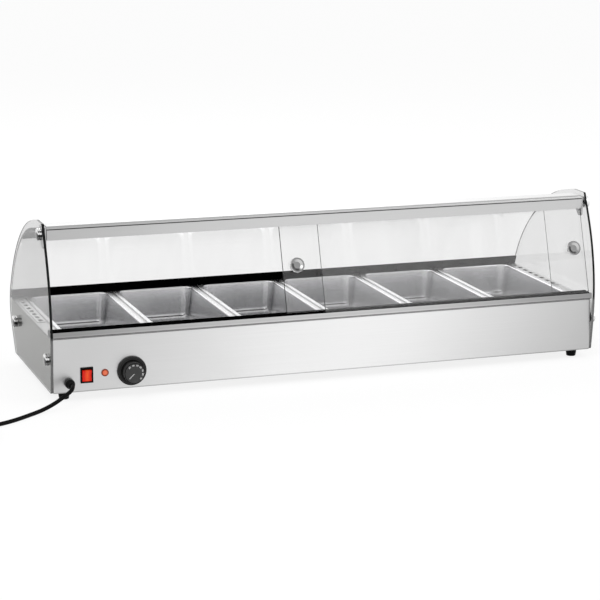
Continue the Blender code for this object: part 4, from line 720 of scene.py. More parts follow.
def make_finishes(look):
    grain_group()
    speckle_group()
    toned_group()
    along, across, round_ = (4.0, 700.0, 700.0), (700.0, 4.0, 700.0), (160.0, 160.0, 160.0)
    up, foot, deck = (0, 0, 1), CASE.z, CASE.z + DECK
    # Painted reflection: the panel steel is lighter in its middle and darker towards both ends, along a
    # slanted line. Painted shade: its lowest 3 mm are darker.
    metal("panel steel", look.steel, 0.34, along, 0.03, 0.12, (
        ("place", (1, 0, -0.45), ((-0.569, 0.74), (-0.32, 0.97), (-0.11, 1.14), (0.12, 1.13), (0.32, 0.88),
                                  (0.49, 0.70), (0.60, 0.60))),
        ("place", up, ((foot, 0.5), (foot + 0.0015, 0.6), (foot + 0.0030, 1.0), (foot + 0.2, 1.0)),
         "LINEAR")))
    # Painted shade: the end steel is the housing's steel darkened for the shade behind the end glasses. It is
    # also darker towards the bottom.
    metal("end steel", look.end_steel, 0.40, across, 0.05, 0.12, (
        ("place", up, ((foot, 0.7), (foot + 0.06, 0.9), (foot + 0.12, 1.1))),))
    # Painted reflection: the sill is lighter in its middle and darker towards both ends. Painted shadow: its
    # lowest 1.6 mm are near black for the shadow gap under the lip, with a painted highlight just above it.
    metal("sill steel", look.sill, 0.36, along, 0.04, 0.12, (
        ("place", (1, 0, 0), ((-0.57, 0.50), (-0.44, 0.68), (-0.28, 0.92), (-0.08, 1.02), (0.14, 1.03),
                              (0.32, 0.85), (0.46, 0.62), (0.58, 0.52))),
        ("place", up, ((deck, 0.10), (deck + 0.0016, 0.16), (deck + 0.0024, 1.12), (deck + 0.006, 0.95),
                       (deck + 0.012, 1.02)), "LINEAR")))
    metal("deck steel", (0.70, 0.70, 0.70), 0.34, across, 0.05, 0.15)
    # Painted shade: a steel painted near black for the shade inside the housing and in the top rail's groove.
    metal("inner steel", (0.10, 0.10, 0.10), 0.45, across, 0.05, 0.15)
    # Painted shade and highlight: the pan steel darkens down the walls towards the pan's floor and brightens
    # on the rim above the deck.
    metal("pan steel", look.pan_steel, 0.24, round_, 0.06, 0.05, (
        ("place", up, ((deck - 0.065, 0.72), (deck - 0.02, 0.85), (deck, 1.0), (deck + 0.0015, 1.1),
                       (deck + 0.003, 1.3)), "LINEAR"),))
    # Painted reflection and highlight: the rail is lighter towards its middle along its length, its faces are
    # toned by which way they look, and its upward faces carry a painted highlight.
    metal("rail aluminium", look.rail, 0.36, along, 0.04, 0.10, (
        ("place", (1, 0, 0), ((-0.57, 0.84), (-0.35, 0.98), (-0.05, 1.13), (0.57, 0.97))),
        ("facing", up, ((-1.0, 0.8), (0.0, 1.0), (0.3, 0.80), (0.75, 0.62), (0.93, 0.9), (1.0, 1.3)),
         "LINEAR")))
    # Painted reflection: the chrome's colour is banded light and dark by which way a face looks, the bands of
    # a studio's reflections.
    metal("polished chrome", look.chrome, 0.10, round_, 0.03, 0.02, (
        ("facing", up, ((-1.0, 0.015), (-0.74, 0.015), (-0.68, 0.32), (-0.36, 0.30), (-0.30, 0.04),
                        (0.04, 0.04), (0.10, 0.90), (0.36, 0.90), (0.42, 0.07), (0.62, 0.07), (0.68, 1.1),
                        (1.0, 1.1)), "LINEAR"),))
    # Painted light: a paler copy of the chrome, lighter on its upward faces, for the right caps.
    metal("pale chrome", look.chrome, 0.20, round_, 0.03, 0.02, (
        ("facing", up, ((-1.0, 0.80), (-0.2, 1.0), (0.2, 1.1), (1.0, 1.1)), "LINEAR"),))
    # Painted reflection: the knob's chrome is darker on faces turned up and to the right and lighter on faces
    # turned down and to the left, with a painted highlight.
    metal("knob chrome", look.chrome, 0.12, round_, 0.03, 0.02, (
        ("facing", (0.7, 0, 0.7), ((-1.0, 1.0), (-0.35, 0.80), (0.0, 0.55), (0.19, 0.30), (0.25, 0.40),
                                   (0.40, 0.10), (0.8, 0.03), (1.0, 0.02)), "LINEAR"),))
    metal("heater alloy", (0.28, 0.27, 0.25), 0.45, round_, 0.10, 0.3)
    metal("bare copper", (0.72, 0.43, 0.30), 0.35, round_, 0.08, 0.1)
    clear("clear glass", look.glass, 1.25)
    clear("door glass", look.door_glass, 1.45)
    clear("side glass", look.side_glass, 1.12)
    # Painted shade: the right end glass is darkened towards its front and below the deck, in front of the
    # housing's end.
    clear("far side glass", look.far_glass, 1.2, (
        ("place", (0, 1, 0.3), ((CASE.y + 0.3 * deck - 0.02, 0.30), (CASE.y + 0.3 * deck - 0.006, 0.35),
                                (CASE.y + 0.3 * deck, 1.0), (CASE.y + 1.0, 1.0)), "LINEAR"),))
    # Glass edges are toned by which way they face and by height: painted light.
    glass_edge("glass edge", look.edge_dark, look.edge_pale, look.edge_below)
    glass_edge("curve edge", look.edge_curve, look.edge_curve, look.edge_curve)
    glass_edge("door edge", look.edge_dark, (0.10, 0.10, 0.10), look.edge_dark)
    moulded("black plastic", look.black, 0.30, Specular_IOR_Level=0.05)
    moulded("track plastic", (0.002, 0.002, 0.002), 0.45, Specular_IOR_Level=0.0)
    moulded("knob plastic", look.black, 0.16, 600.0, 0.05, Specular_IOR_Level=0.10)
    moulded("knob skirt", (0.028, 0.028, 0.028), 0.30, 600.0, 0.1, Specular_IOR_Level=0.12)
    moulded("dial", look.dial, 0.42, 1200.0, 0.15, Specular_IOR_Level=0.10)
    moulded("dial mark", look.mark, 0.5, 1500.0, 0.05)
    moulded("rubber", look.rubber, 0.30, 700.0, 0.3, Specular_IOR_Level=0.04)
    moulded("ceramic", (0.80, 0.79, 0.75), 0.55, 500.0, 0.1)
    moulded("lamp ring", (0.26, 0.045, 0.018), 0.3, 600.0, 0.05, Specular_IOR_Level=0.2)


# Pieces


class DISPLAYCASE_OT_stage(Operator):
    """Set the camera, the pale floor and the soft light"""
    bl_idname = "display_case.stage"
    bl_label = "Stage"

    def execute(self, context):
        look = context.scene.display_case_stage
        level = cos(look.pitch)
        forward = Vector((sin(look.yaw) * level, cos(look.yaw) * level, -sin(look.pitch)))
        right = Vector((cos(look.yaw), -sin(look.yaw), 0))
        up = right.cross(forward)
        leaned = right * cos(look.roll) + up * sin(look.roll)
        up = leaned.cross(forward)
        bpy.ops.object.camera_add(location=look.camera_place)
        camera = context.object
        camera.name = "photo_camera"
        camera.rotation_euler = Matrix((leaned, up, -forward)).transposed().to_euler()
        camera.data.lens = look.lens
        camera.data.sensor_width = 36.0
        camera.data.clip_start = 0.05
        camera.data.clip_end = 100.0
        context.scene.camera = camera
        deselect()
        bpy.ops.mesh.primitive_plane_add(size=60.0, location=(0, 0, 0))
        floor = context.object
        floor.name = "floor"
        floor.data.materials.append(self.floor_finish(look))
        self.light(context, "key_lamp", (-2.2, -2.6, 3.4), 2.6, look.key)
        self.light(context, "fill_lamp", (2.8, -2.2, 2.6), 2.2, look.fill)
        self.light(context, "back_lamp", (0.4, 2.8, 2.8), 2.4, look.fill)
        self.room(context, look)
        context.scene.view_settings.view_transform = "Standard"
        return {"FINISHED"}

    def light(self, context, name, place, size, power):
        bpy.ops.object.light_add(type="AREA", location=place)
        lamp = context.object
        lamp.name = name
        lamp.data.size = size
        lamp.data.energy = power
        lamp.rotation_euler = (Vector((0, 0, 0.1)) - Vector(place)).to_track_quat("-Z", "Y").to_euler()

    def seen(self, tree):
        """One where a ray shows the background: from the camera, in gloss, or through glass."""
        path = add(tree, "LightPath")
        seen = maths(tree, "MAXIMUM", path.outputs["Is Camera Ray"], path.outputs["Is Glossy Ray"])
        return maths(tree, "MAXIMUM", seen, path.outputs["Is Transmission Ray"])

    def floor_finish(self, look):
        """A pale floor that shows white and keeps a soft shadow."""
        finish, tree, shader, place = new_finish("floor", look.floor_tone, Roughness=0.9)
        shade = use(tree, "moulded speckle", Place=place, Size=3.0, Roughness=0.85)
        tree.links.new(shade.outputs["Roughness"], shader.inputs["Roughness"])
        white = add(tree, "Emission", Color=(1, 1, 1, 1), Strength=1.06)
        mixed(tree, maths(tree, "MULTIPLY", self.seen(tree), 0.8), shader.outputs["BSDF"],
              white.outputs["Emission"])
        return finish

    def room(self, context, look):
        world = bpy.data.worlds.new("white room")
        context.scene.world = world
        world.use_nodes = True
        tree = world.node_tree
        shown = tree.nodes["Background"]
        shown.inputs["Color"].default_value = (1, 1, 1, 1)
        shown.inputs["Strength"].default_value = 1.0
        even = add(tree, "Background", Color=(1, 1, 1, 1), Strength=look.sky)
        mixed(tree, self.seen(tree), even.outputs["Background"], shown.outputs["Background"], "World Output")


def smooth_run(route, step):
    """Evenly spaced points on a smooth curve through a route, whose first and last legs stay straight."""
    ends = [Vector(point) for point in route]
    fine = []
    for before, here, after, beyond in zip(ends, ends[1:], ends[2:], ends[3:]):
        spans = [sqrt((b - a).length) for a, b in ((before, here), (here, after), (after, beyond))]
        lead = ((after - here) / spans[1] - (after - before) / (spans[0] + spans[1])
                + (here - before) / spans[0]) * spans[1]
        trail = ((beyond - after) / spans[2] - (beyond - here) / (spans[1] + spans[2])
                 + (after - here) / spans[1]) * spans[1]
        for sample in range(24):
            share = sample / 24
            square, cube = share ** 2, share ** 3
            fine.append((2 * cube - 3 * square + 1) * here + (cube - 2 * square + share) * lead
                        + (3 * square - 2 * cube) * after + (cube - square) * trail)
    fine.append(ends[-2])
    lengths = np.concatenate([[0], np.cumsum([(b - a).length for a, b in zip(fine, fine[1:])])])
    places = np.linspace(0, lengths[-1], max(2, round(lengths[-1] / step)) + 1)
    table = np.array([tuple(point) for point in fine])
    return [ends[0], *[Vector([float(np.interp(place, lengths, column)) for column in table.T])
                       for place in places], ends[-1]]


class DISPLAYCASE_OT_cord(Operator):
    """Lay the power cord, its gland and its plug"""
    bl_idname = "display_case.cord"
    bl_label = "Power cord"

    def execute(self, context):
        cord = context.scene.display_case_cord
        lie = -CASE.z + cord.radius
        centre = Vector((-0.205, -0.187))
        entry = (centre.x + 2 * cord.radius, centre.y + cord.coil_radius)
        route = [(0.030, -0.0243, 0.020), (0.030, -0.0323, 0.020), (0.0235, -0.0435, 0.0155),
                 (0.0085, -0.0500, 0.0075), (-0.0100, -0.0530, -0.0030), (-0.0320, -0.0590, -0.0110)]
        route += [(x, y, lie) for x, y in ((-0.0560, -0.0730), (-0.0780, -0.0905), (-0.1040, -0.1090),
                                           (-0.1290, -0.1220), (-0.1600, -0.1310))]
        route += [(entry[0] + 4 * cord.radius, entry[1], lie), (*entry, lie)]
        points = smooth_run(route, 0.006)[:-1]
        for point in points:
            point.z = max(point.z, lie)
        points += self.coil(cord, centre, lie)
        origin = Vector((LEFT, CASE.y, CASE.z))
        points = [point + origin for point in points]
        line = bpy.data.curves.new("mains_cord", "CURVE")
        line.dimensions = "3D"
        line.bevel_depth = cord.radius
        line.bevel_resolution = 5
        line.use_fill_caps = True
        spline = line.splines.new("POLY")
        spline.points.add(len(points) - 1)
        for point, place in zip(spline.points, points):
            point.co = (*place, 1)
        spline.use_smooth = True
        lead = bpy.data.objects.new("mains_cord", line)
        context.collection.objects.link(lead)
        line.materials.append(bpy.data.materials["rubber"])
        hand_over(lead, "case", "black_rubber", "power_cord", "cord_coil")
        plug = self.plug()
        self.gland()
        return {"FINISHED"}

    def coil(self, cord, centre, lie):
        """One tube that spirals in on the floor, climbs a layer, and spirals out again to the plug."""
        turns, a_turn = 2.25, 48
        inner = cord.coil_radius - turns * cord.coil_pitch
        points = [Vector((centre.x + 2 * cord.radius, centre.y + cord.coil_radius, lie))]
        for step in range(round((2 * turns + 0.5) * a_turn) + 1):
            turn = step / a_turn
            radius, rise = cord.coil_radius - turn * cord.coil_pitch, 0.0
            if turns < turn <= turns + 0.5:
                climb = turn - turns
                radius = inner - cord.coil_pitch * min(climb, 0.5 - climb)
                rise = climb / 0.5
            elif turn > turns:
                radius, rise = inner + (turn - turns - 0.5) * cord.coil_pitch, 1.0
            heading = pi / 2 + 2 * pi * turn
            points.append(Vector((centre.x + radius * cos(heading), centre.y + radius * sin(heading),
                                  lie + rise * cord.layer_pitch)))
        last = points[-1]
        axis = -CASE.z + 0.018
        for share in (0.12, 0.24, 0.35, 0.45, 0.55, 0.65, 0.75, 0.857, 1.0):
            ease = min(share / 0.857, 1.0)
            ease = ease * ease * (3 - 2 * ease)
            points.append(last + Vector((-0.056 * share, 0, (axis - last.z) * ease)))
        return points

    def plug(self):
        low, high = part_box("plug")
        centre = Vector((high.x, (low.y + high.y) / 2, (low.z + high.z) / 2))
        body = lathe("mains_plug", rounded([
            (0, 0.056, 0), (0.018, 0.056, 0.0015), (0.018, 0.044, 0.006), (0.0150, 0.038, 0.004),
            (0.0130, 0.024, 0.004), (0.0075, 0.0195, 0.003), (0.0070, 0.012, 0.002), (0.0058, 0.0, 0.0006),
            (0, 0.0, 0)], closed=False), centre, (-1, 0, 0))
        complete(body, "rubber")
        pin = rounded([(0, 0.075, 0), (0.0024, 0.075, 0.0018), (0.0024, 0.0555, 0), (0, 0.0555, 0)],
                      closed=False)
        pins = [lathe(f"plug_pin_{side}", pin, centre + Vector((0, sign * PIN_SPREAD / 2, 0)), (-1, 0, 0), 32)
                for side, sign in (("front", -1), ("rear", 1))]
        for pin in pins:
            complete(pin, "polished chrome")
        hand_over(joined(body, pins), "case", "black_rubber", "plug")
        return body

    def gland(self):
        """A strain relief that tapers from the panel to the cord, with shallow rings."""
        profile = [(0, 0.0240), (0.0056, 0.0240), (0.0062, 0.0234)]
        for ring in range(4):
            height = 0.0212 - ring * 0.0026
            radius = 0.0064 + ring * 0.0007
            profile += [(radius, height + 0.0010), (radius - 0.0005, height + 0.0006),
                        (radius - 0.0005, height - 0.0004), (radius + 0.0004, height - 0.0008)]
        profile += [(0.0094, 0.0115), (0.0095, 0.0095), (0.0095, 0.0008), (0.0092, 0.0003), (0.006, 0.0003),
                    (0.006, -0.0013), (0.009, -0.0013), (0.009, -0.0063), (0.006, -0.0063), (0.006, -0.010),
                    (0, -0.010)]
        gland = lathe("cord_strain_relief", profile, GLAND_PLACE, (0, -1, 0))
        complete(gland, "black plastic")
        hand_over(gland, "case", "black_plastic", "cord_gland")


def repaint(finishes):
    """Gives CAD nodes whose shape is right their finish."""
    for name, nodes in finishes.items():
        for node in nodes:
            mesh = frame["nodes"][node].data
            mesh.materials.clear()
            mesh.materials.append(bpy.data.materials[name])


class DISPLAYCASE_OT_housing(Operator):
    """Make the housing's rear and ends, the vent strips and the feet, and finish its sheets"""
    bl_idname = "display_case.housing"
    bl_label = "Housing"

    def execute(self, context):
        curve = [Vector(point) for point in rounded(REAR_CURVE, closed=False)]
        panel = between(beside(curve, REAR_INSET), PANEL_HIGH.z - CASE.z, 0)
        flanges = [Vector((end.x - REAR_FLANGE, end.y)) for end in (panel[0], panel[-1])]
        line = [flanges[0], *panel, flanges[1]]
        rear = complete(folded("customer_side_panel", line, -HALF, HALF, SHEET), "panel steel")
        hand_over(rear, "case", "brushed_steel", "rear_panel")
        high, low = PANEL_HIGH.z - CASE.z - SHEET - FIT, SHEET + FIT
        wall = between(beside(curve, REAR_INSET + SHEET + FIT), high, low)
        outline = [(low, low), (low, high), *[tuple(point) for point in wall]]
        for side, sign in (("left", -1), ("right", 1)):
            end = section(f"{side}_end_plate", outline, sign * HALF, sign * (HALF - END_SHEET))
            complete(end, "end steel", bevel=0.0002, segments=1)
            hand_over(end, "case", "brushed_steel", f"end_wall_{side}")
            self.vents(side)
        repaint({
            "panel steel": ["front_panel"],
            "sill steel": ["front_sill"],
            "deck steel": ["deck", *[f"crossbar_{index}" for index in range(1, 6)]],
            # The housing's inner sheets take the near-black steel: painted shade.
            "inner steel": ["bottom_plate", "heater_tray", "heat_baffle"],
            "track plastic": ["lower_track", "rear_glass_channel"],
            "heater alloy": ["heater_left", "heater_right"],
            "bare copper": ["thermostat_sensor"],
            "ceramic": ["thermostat_body", "terminal_block"],
        })
        self.feet()
        return {"FINISHED"}

    def vents(self, side):
        """A raised strip with a row of short slots."""
        low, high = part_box(f"vent_strip_{side}")
        corners = [(low.x, low.y), (high.x, low.y), (high.x, high.y), (low.x, high.y)]
        outline = rounded([(x, y, 0.003) for x, y in corners])
        strip = prism(f"{side}_vent_strip", [Vector((x, y, low.z)) for x, y in outline],
                      Vector((0, 0, high.z - low.z)))
        deselect()
        overrun = 0.005
        first = (low + high) / 2 + Vector((0, (1 - VENTS) / 2 * VENT_PITCH, -overrun))
        slot = [(sign * VENT_HALF_WIDTH, end * VENT_HALF_LENGTH, VENT_ROUND)
                for end, sign in ((1, 1), (1, -1), (-1, -1), (-1, 1))]
        holes = prism(f"{side}_vent_holes", [first + Vector((x, y, 0)) for x, y in rounded(slot)],
                      Vector((0, 0, 2 * overrun)))
        for _ in range(VENTS - 1):
            bpy.ops.mesh.select_linked()
            bpy.ops.mesh.duplicate_move(TRANSFORM_OT_translate={"value": (0, VENT_PITCH, 0)})
        cut(strip, holes)
        complete(strip, "deck steel", bevel=0.0003)
        hand_over(strip, "case", "brushed_steel", f"vent_strip_{side}")

    def feet(self):
        for place in ("front_left", "front_right", "rear_left", "rear_right"):
            low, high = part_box(f"foot_{place}")
            centre = Vector(((low.x + high.x) / 2, (low.y + high.y) / 2, 0))
            foot = lathe(f"rubber_foot_{place}", rounded([
                (0, 0.0012, 0), (0.006, 0.0012, 0), (0.0065, 0, 0), (0.0095, 0, 0.0012),
                (0.0108, 0.008, 0.003), (0.0110, 0.0189, 0.0006), (0.003, 0.0190, 0), (0.003, 0.025, 0),
                (0, 0.025, 0)],
                closed=False), centre, (0, 0, 1), 48)
            complete(foot, "rubber")
            hand_over(foot, "case", "black_rubber", f"foot_{place}")


def two_finishes(piece, test):
    """Gives the faces that pass a test the piece's second finish."""
    for face in piece.data.polygons:
        face.material_index = 1 if test(face.normal) else 0


class DISPLAYCASE_OT_glazing(Operator):
    """Make the side glasses with their stand-offs, and the curved customer glass"""
    bl_idname = "display_case.glazing"
    bl_label = "Glazing"

    def execute(self, context):
        glazing = context.scene.display_case_glazing
        outline = rounded(SIDE_GLASS)
        for side, sign in (("left", -1), ("right", 1)):
            inner = sign * (HALF + GLASS_GAP)
            pane = section(f"{side}_end_glass", outline, inner, inner + sign * glazing.pane)
            for _, y, z in STANDOFFS:
                deselect()
                bpy.ops.mesh.primitive_cylinder_add(vertices=32, radius=BORE_RADIUS, depth=0.03,
                                                    location=CASE + Vector((inner, y, z)),
                                                    rotation=(0, pi / 2, 0))
                cut(pane, bpy.context.object)
            glass = "side glass" if side == "left" else "far side glass"
            complete(pane, glass, "glass edge", bevel=glazing.polished)
            two_finishes(pane, lambda normal: abs(normal.x) < 0.9)
            hand_over(pane, "case", "clear_glass", f"side_glass_{side}")
            self.standoffs(glazing, side, sign)
        run = rounded(CUSTOMER_GLASS, closed=False)
        sheet = section("curved_customer_glass", run + beside(run, glazing.pane)[::-1], -HALF, HALF)
        complete(sheet, "clear glass", "curve edge", bevel=glazing.polished)
        first, last = (run[1] - run[0]).normalized(), (run[-1] - run[-2]).normalized()
        ends = [Vector((0, *first)), Vector((0, *last)), Vector((1, 0, 0))]
        two_finishes(sheet, lambda normal: max(abs(normal.dot(end)) for end in ends[1:]) > 0.6
                     or (abs(normal.dot(ends[0])) > 0.95))
        hand_over(sheet, "case", "clear_glass", "customer_glass")
        return {"FINISHED"}

    def standoffs(self, glazing, side, sign):
        """Turned caps on shanks that go through the glass."""
        radius, height = glazing.cap_radius, glazing.cap_height
        for name, y, z in STANDOFFS:
            low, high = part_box(f"standoff_{side}_{name}")
            shank = (high.x - low.x) - height
            centre = CASE + Vector((sign * (HALF + GLASS_GAP + glazing.pane + FIT), y, z))
            dome = [(radius * sin(turn), height * (0.8 + 0.2 * cos(turn)), 0)
                    for turn in np.linspace(0, pi / 2, 10)]
            cap = lathe(f"cap_{side}_{name}", rounded([
                *dome, (radius, height * 0.62, 0), (radius - 0.0007, height * 0.56, 0),
                (radius - 0.0007, height * 0.50, 0), (radius, height * 0.44, 0), (radius, 0, 0.0004),
                (SHANK_RADIUS, 0, 0), (SHANK_RADIUS, -shank, 0), (0, -shank, 0)], closed=False),
                centre, (sign, 0, 0), 56)
            # The left caps carry the chrome's painted reflections, and the right caps its paler painted-light
            # copy.
            complete(cap, "polished chrome" if side == "left" else "pale chrome")
            hand_over(cap, "case", "chrome", f"standoff_{side}_{name}")


class DISPLAYCASE_OT_rail(Operator):
    """Make the extruded top rail and its end brackets"""
    bl_idname = "display_case.rail"
    bl_label = "Top rail"

    def execute(self, context):
        front, back, under, top = RAIL_FRONT, RAIL_BACK, RAIL_UNDERSIDE, TOP - 0.0055
        run = rounded(CUSTOMER_GLASS, closed=False)
        along = (run[1] - run[0]).normalized()
        up = Vector((-along.y, along.x))
        up = -up if up.y < 0 else up

        def on_glass(offset, y):
            spot = run[0] + up * offset
            return tuple(spot + along * (y - spot.x) / along.x)

        lip, slack, wall = back + 0.012, 0.0004, 0.0016
        pane = context.scene.display_case_glazing.pane
        outline = [(front, under), *door_slot(0, under, RAIL_SLOT_TOP), *door_slot(1, under, RAIL_SLOT_TOP),
                   (back, under), on_glass(-pane - slack - wall, back), on_glass(-pane - slack - wall, lip),
                   on_glass(-pane - slack, lip), on_glass(-pane - slack, back), on_glass(slack, back),
                   on_glass(slack, lip), on_glass(slack + wall, lip)]
        crown = rounded([(*outline[-1], 0), (back, top, 0.006), (front + 0.0015, top, 0.006),
                         (front + 0.0015, TOP - 0.010, 0)], closed=False)
        outline += [tuple(point) for point in crown[1:-1]]
        face = TOP - 0.013
        outline += [(front + 0.00075, face + 0.0015), (front + 0.003, face + 0.0015), (front + 0.003, face),
                    (front, face)]
        rail = section("extruded_top_rail", outline, RAIL_LOW.x, RAIL_HIGH.x)
        complete(rail, "rail aluminium", "inner steel", bevel=0.0003)
        # The faces in the rail's front groove take the second finish, the near-black steel: painted shade in
        # the groove.
        for plate in rail.data.polygons:
            spot = plate.center - CASE
            level = face - 0.0001 < spot.z < face + 0.0016
            plate.material_index = 1 if level and front + 0.0004 < spot.y < front + 0.004 else 0
        hand_over(rail, "case", "rail_aluminium", "top_rail")
        stand = STANDOFFS[0][1]
        margin, lobe, foot = 0.002, 0.009, TOP - 0.050
        plate = rounded([(front + margin, top - margin, margin), (back - margin, top - margin, margin),
                         (back - margin, under, lobe), (stand + lobe, foot, lobe), (stand - lobe, foot, lobe),
                         (front + margin, under, lobe)])
        for side, sign in (("left", -1), ("right", 1)):
            bracket = section(f"rail_end_plate_{side}", plate, sign * HALF, sign * (HALF - 0.003))
            complete(bracket, "rail aluminium", bevel=0.0005)
            hand_over(bracket, "case", "rail_aluminium", f"rail_bracket_{side}")
        return {"FINISHED"}


class DISPLAYCASE_OT_doors(Operator):
    """Make the two sliding glass doors and their knobs"""
    bl_idname = "display_case.doors"
    bl_label = "Sliding doors"

    def execute(self, context):
        glazing = context.scene.display_case_glazing
        half = glazing.door_pane / 2
        height = (RAIL_SLOT_TOP - 0.002 - SILL_TOP) / cos(DOOR_LEAN)
        drop = (SILL_TOP - TRACK_FLOOR - FIT) / cos(DOOR_LEAN) - half * tan(DOOR_LEAN)
        for side, track in (("left", 1), ("right", 0)):
            low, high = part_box(f"door_{side}")
            foot = CASE + Vector((0, door_line(track, SILL_TOP), SILL_TOP))
            corners = [(low.x, -drop), (high.x, -drop), (high.x, height), (low.x, height)]
            outline = rounded([(x, rise, 0.003) for x, rise in corners])
            points = [foot + DOOR_UP * rise + DOOR_OUT * -half + Vector((x, 0, 0)) for x, rise in outline]
            pane = prism(f"sliding_pane_{side}", points, DOOR_OUT * 2 * half)
            centre = foot + DOOR_UP * (KNOB_HEIGHT - SILL_TOP) / cos(DOOR_LEAN)
            centre.x = low.x + KNOB_INSET if side == "left" else high.x - KNOB_INSET
            bore = [(0, 0.01), (BORE_RADIUS, 0.01), (BORE_RADIUS, -0.01), (0, -0.01)]
            cut(pane, lathe(f"bore_{side}", bore, centre, DOOR_OUT, 32))
            complete(pane, "door glass", "door edge", bevel=glazing.polished)
            two_finishes(pane, lambda normal: abs(normal.dot(DOOR_OUT)) < 0.9)
            hand_over(pane, f"door_{side}", "clear_glass", f"door_{side}")
            self.knob(glazing, side, centre, half)
        return {"FINISHED"}

    def knob(self, glazing, side, centre, half):
        """A dished knob on a bolt, with a washer behind the glass."""
        radius, top, face = glazing.knob_radius, half + 0.010, half + FIT
        profile = rounded([
            (0, top - 0.0022, 0), (radius * 0.45, top - 0.0022, 0.002), (radius * 0.72, top - 0.0004, 0.002),
            (radius * 0.78, top, 0.0006), (radius, top, 0.0012), (radius, top - 0.0042, 0.0012),
            (radius * 0.62, face + 0.001, 0.0015), (radius * 0.60, face, 0), (SHANK_RADIUS, face, 0),
            (SHANK_RADIUS, -face, 0), (0.008, -face, 0), (0.008, -face - 0.002, 0.0006),
            (0.0055, -face - 0.003, 0.0004), (0, -face - 0.003, 0)], closed=False)
        knob = lathe(f"glass_knob_{side}", profile, centre, DOOR_OUT)
        complete(knob, "knob chrome")
        hand_over(knob, f"door_{side}", "chrome", f"door_knob_{side}")


class DISPLAYCASE_OT_pans(Operator):
    """Form one food pan and set six of them in the deck"""
    bl_idname = "display_case.pans"
    bl_label = "Food pans"

    def execute(self, context):
        pans = context.scene.display_case_pans
        low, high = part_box("pan_1")
        first = self.pan(pans, (low + high) / 2)
        row = []
        for index in range(1, 7):
            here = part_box(f"pan_{index}")
            pan = first
            if index > 1:
                pan = repeat(first, f"gastronorm_pan_{index}", ((here[0].x - low.x), 0, 0))
            row.append((pan, index))
        for pan, index in row:
            hand_over(pan, f"pan_{index}", "pan_steel", f"pan_{index}")
        return {"FINISHED"}

    def stations(self, pans):
        """Inset, height and corner radius down the pan's sheet, from the rim's foot to the floor.

        No two neighbours lie at one height, because a bridge between level rings can come out twisted.
        """
        foot = DECK + FIT
        top = foot + 0.002 + pans.sheet
        floor = DECK + 0.002 - 0.065
        fold, shoulder, bowl = 0.0016, pans.shoulder, pans.floor_round
        crown = 0.0001
        rings = [(0, foot, 0.012), (0, top - crown - fold, 0.012)]
        for step in range(1, 5):
            turn = pi / 2 * step / 4
            inset = fold * (1 - cos(turn))
            rings.append((inset, top - crown - fold * (1 - sin(turn)), 0.012 - inset))
        for step in range(6):
            turn = pi / 2 * step / 5
            rings.append((0.0095 + shoulder * (sin(turn) - 1), top - shoulder * (1 - cos(turn)),
                          0.0195 + shoulder * (1 - sin(turn))))
        wall_foot = 0.0095 + 0.0075 * (1 - bowl / (top - floor))
        for step in range(7):
            turn = pi / 2 * step / 6
            rings.append((wall_foot + bowl * (1 - cos(turn)), floor + bowl * (1 - sin(turn)),
                          0.0155 - bowl * (1 - cos(turn))))
        last = rings[-1][0]
        return rings + [(last + 0.006, floor + crown, 0.006), (last + 0.009, floor + 0.0006, 0.006)]

    def pan(self, pans, middle):
        segments = pans.corner_segments
        count = 4 * (segments + 1)
        piece = None
        rings = self.stations(pans)
        for index, (inset, z, radius) in enumerate(rings):
            centre = Vector((middle.x, middle.y, CASE.z + z))
            if piece is None:
                deselect()
                bpy.ops.mesh.primitive_plane_add(size=1.0, location=centre)
                piece = bpy.context.object
                piece.name = "gastronorm_pan_1"
                piece.data.name = piece.name
                bpy.ops.object.mode_set(mode="EDIT")
                bpy.ops.mesh.select_mode(type="VERT")
            else:
                bpy.ops.mesh.select_all(action="DESELECT")
                bpy.ops.mesh.primitive_plane_add(size=1.0, location=centre)
            size = (pans.width - 2 * inset, pans.depth - 2 * inset, 1.0)
            bpy.ops.transform.resize(value=size, center_override=centre)
            bpy.ops.mesh.bevel(offset=radius, affect="VERTICES", segments=segments)
            if index < len(rings) - 1:
                bpy.ops.mesh.delete(type="ONLY_FACE")
            if index:
                start_at = (index - 1) * count
                pick(piece, lambda vert: start_at <= vert.index < start_at + 2 * count)
                bpy.ops.mesh.bridge_edge_loops()
        outward(merge=0.000001)
        bpy.ops.object.mode_set(mode="OBJECT")
        floor = min(piece.data.polygons, key=lambda face: face.center.z)
        thicken(piece, pans.sheet, -1.0 if floor.normal.z > 0 else 1.0)
        return complete(piece, "pan steel", limit=radians(50))


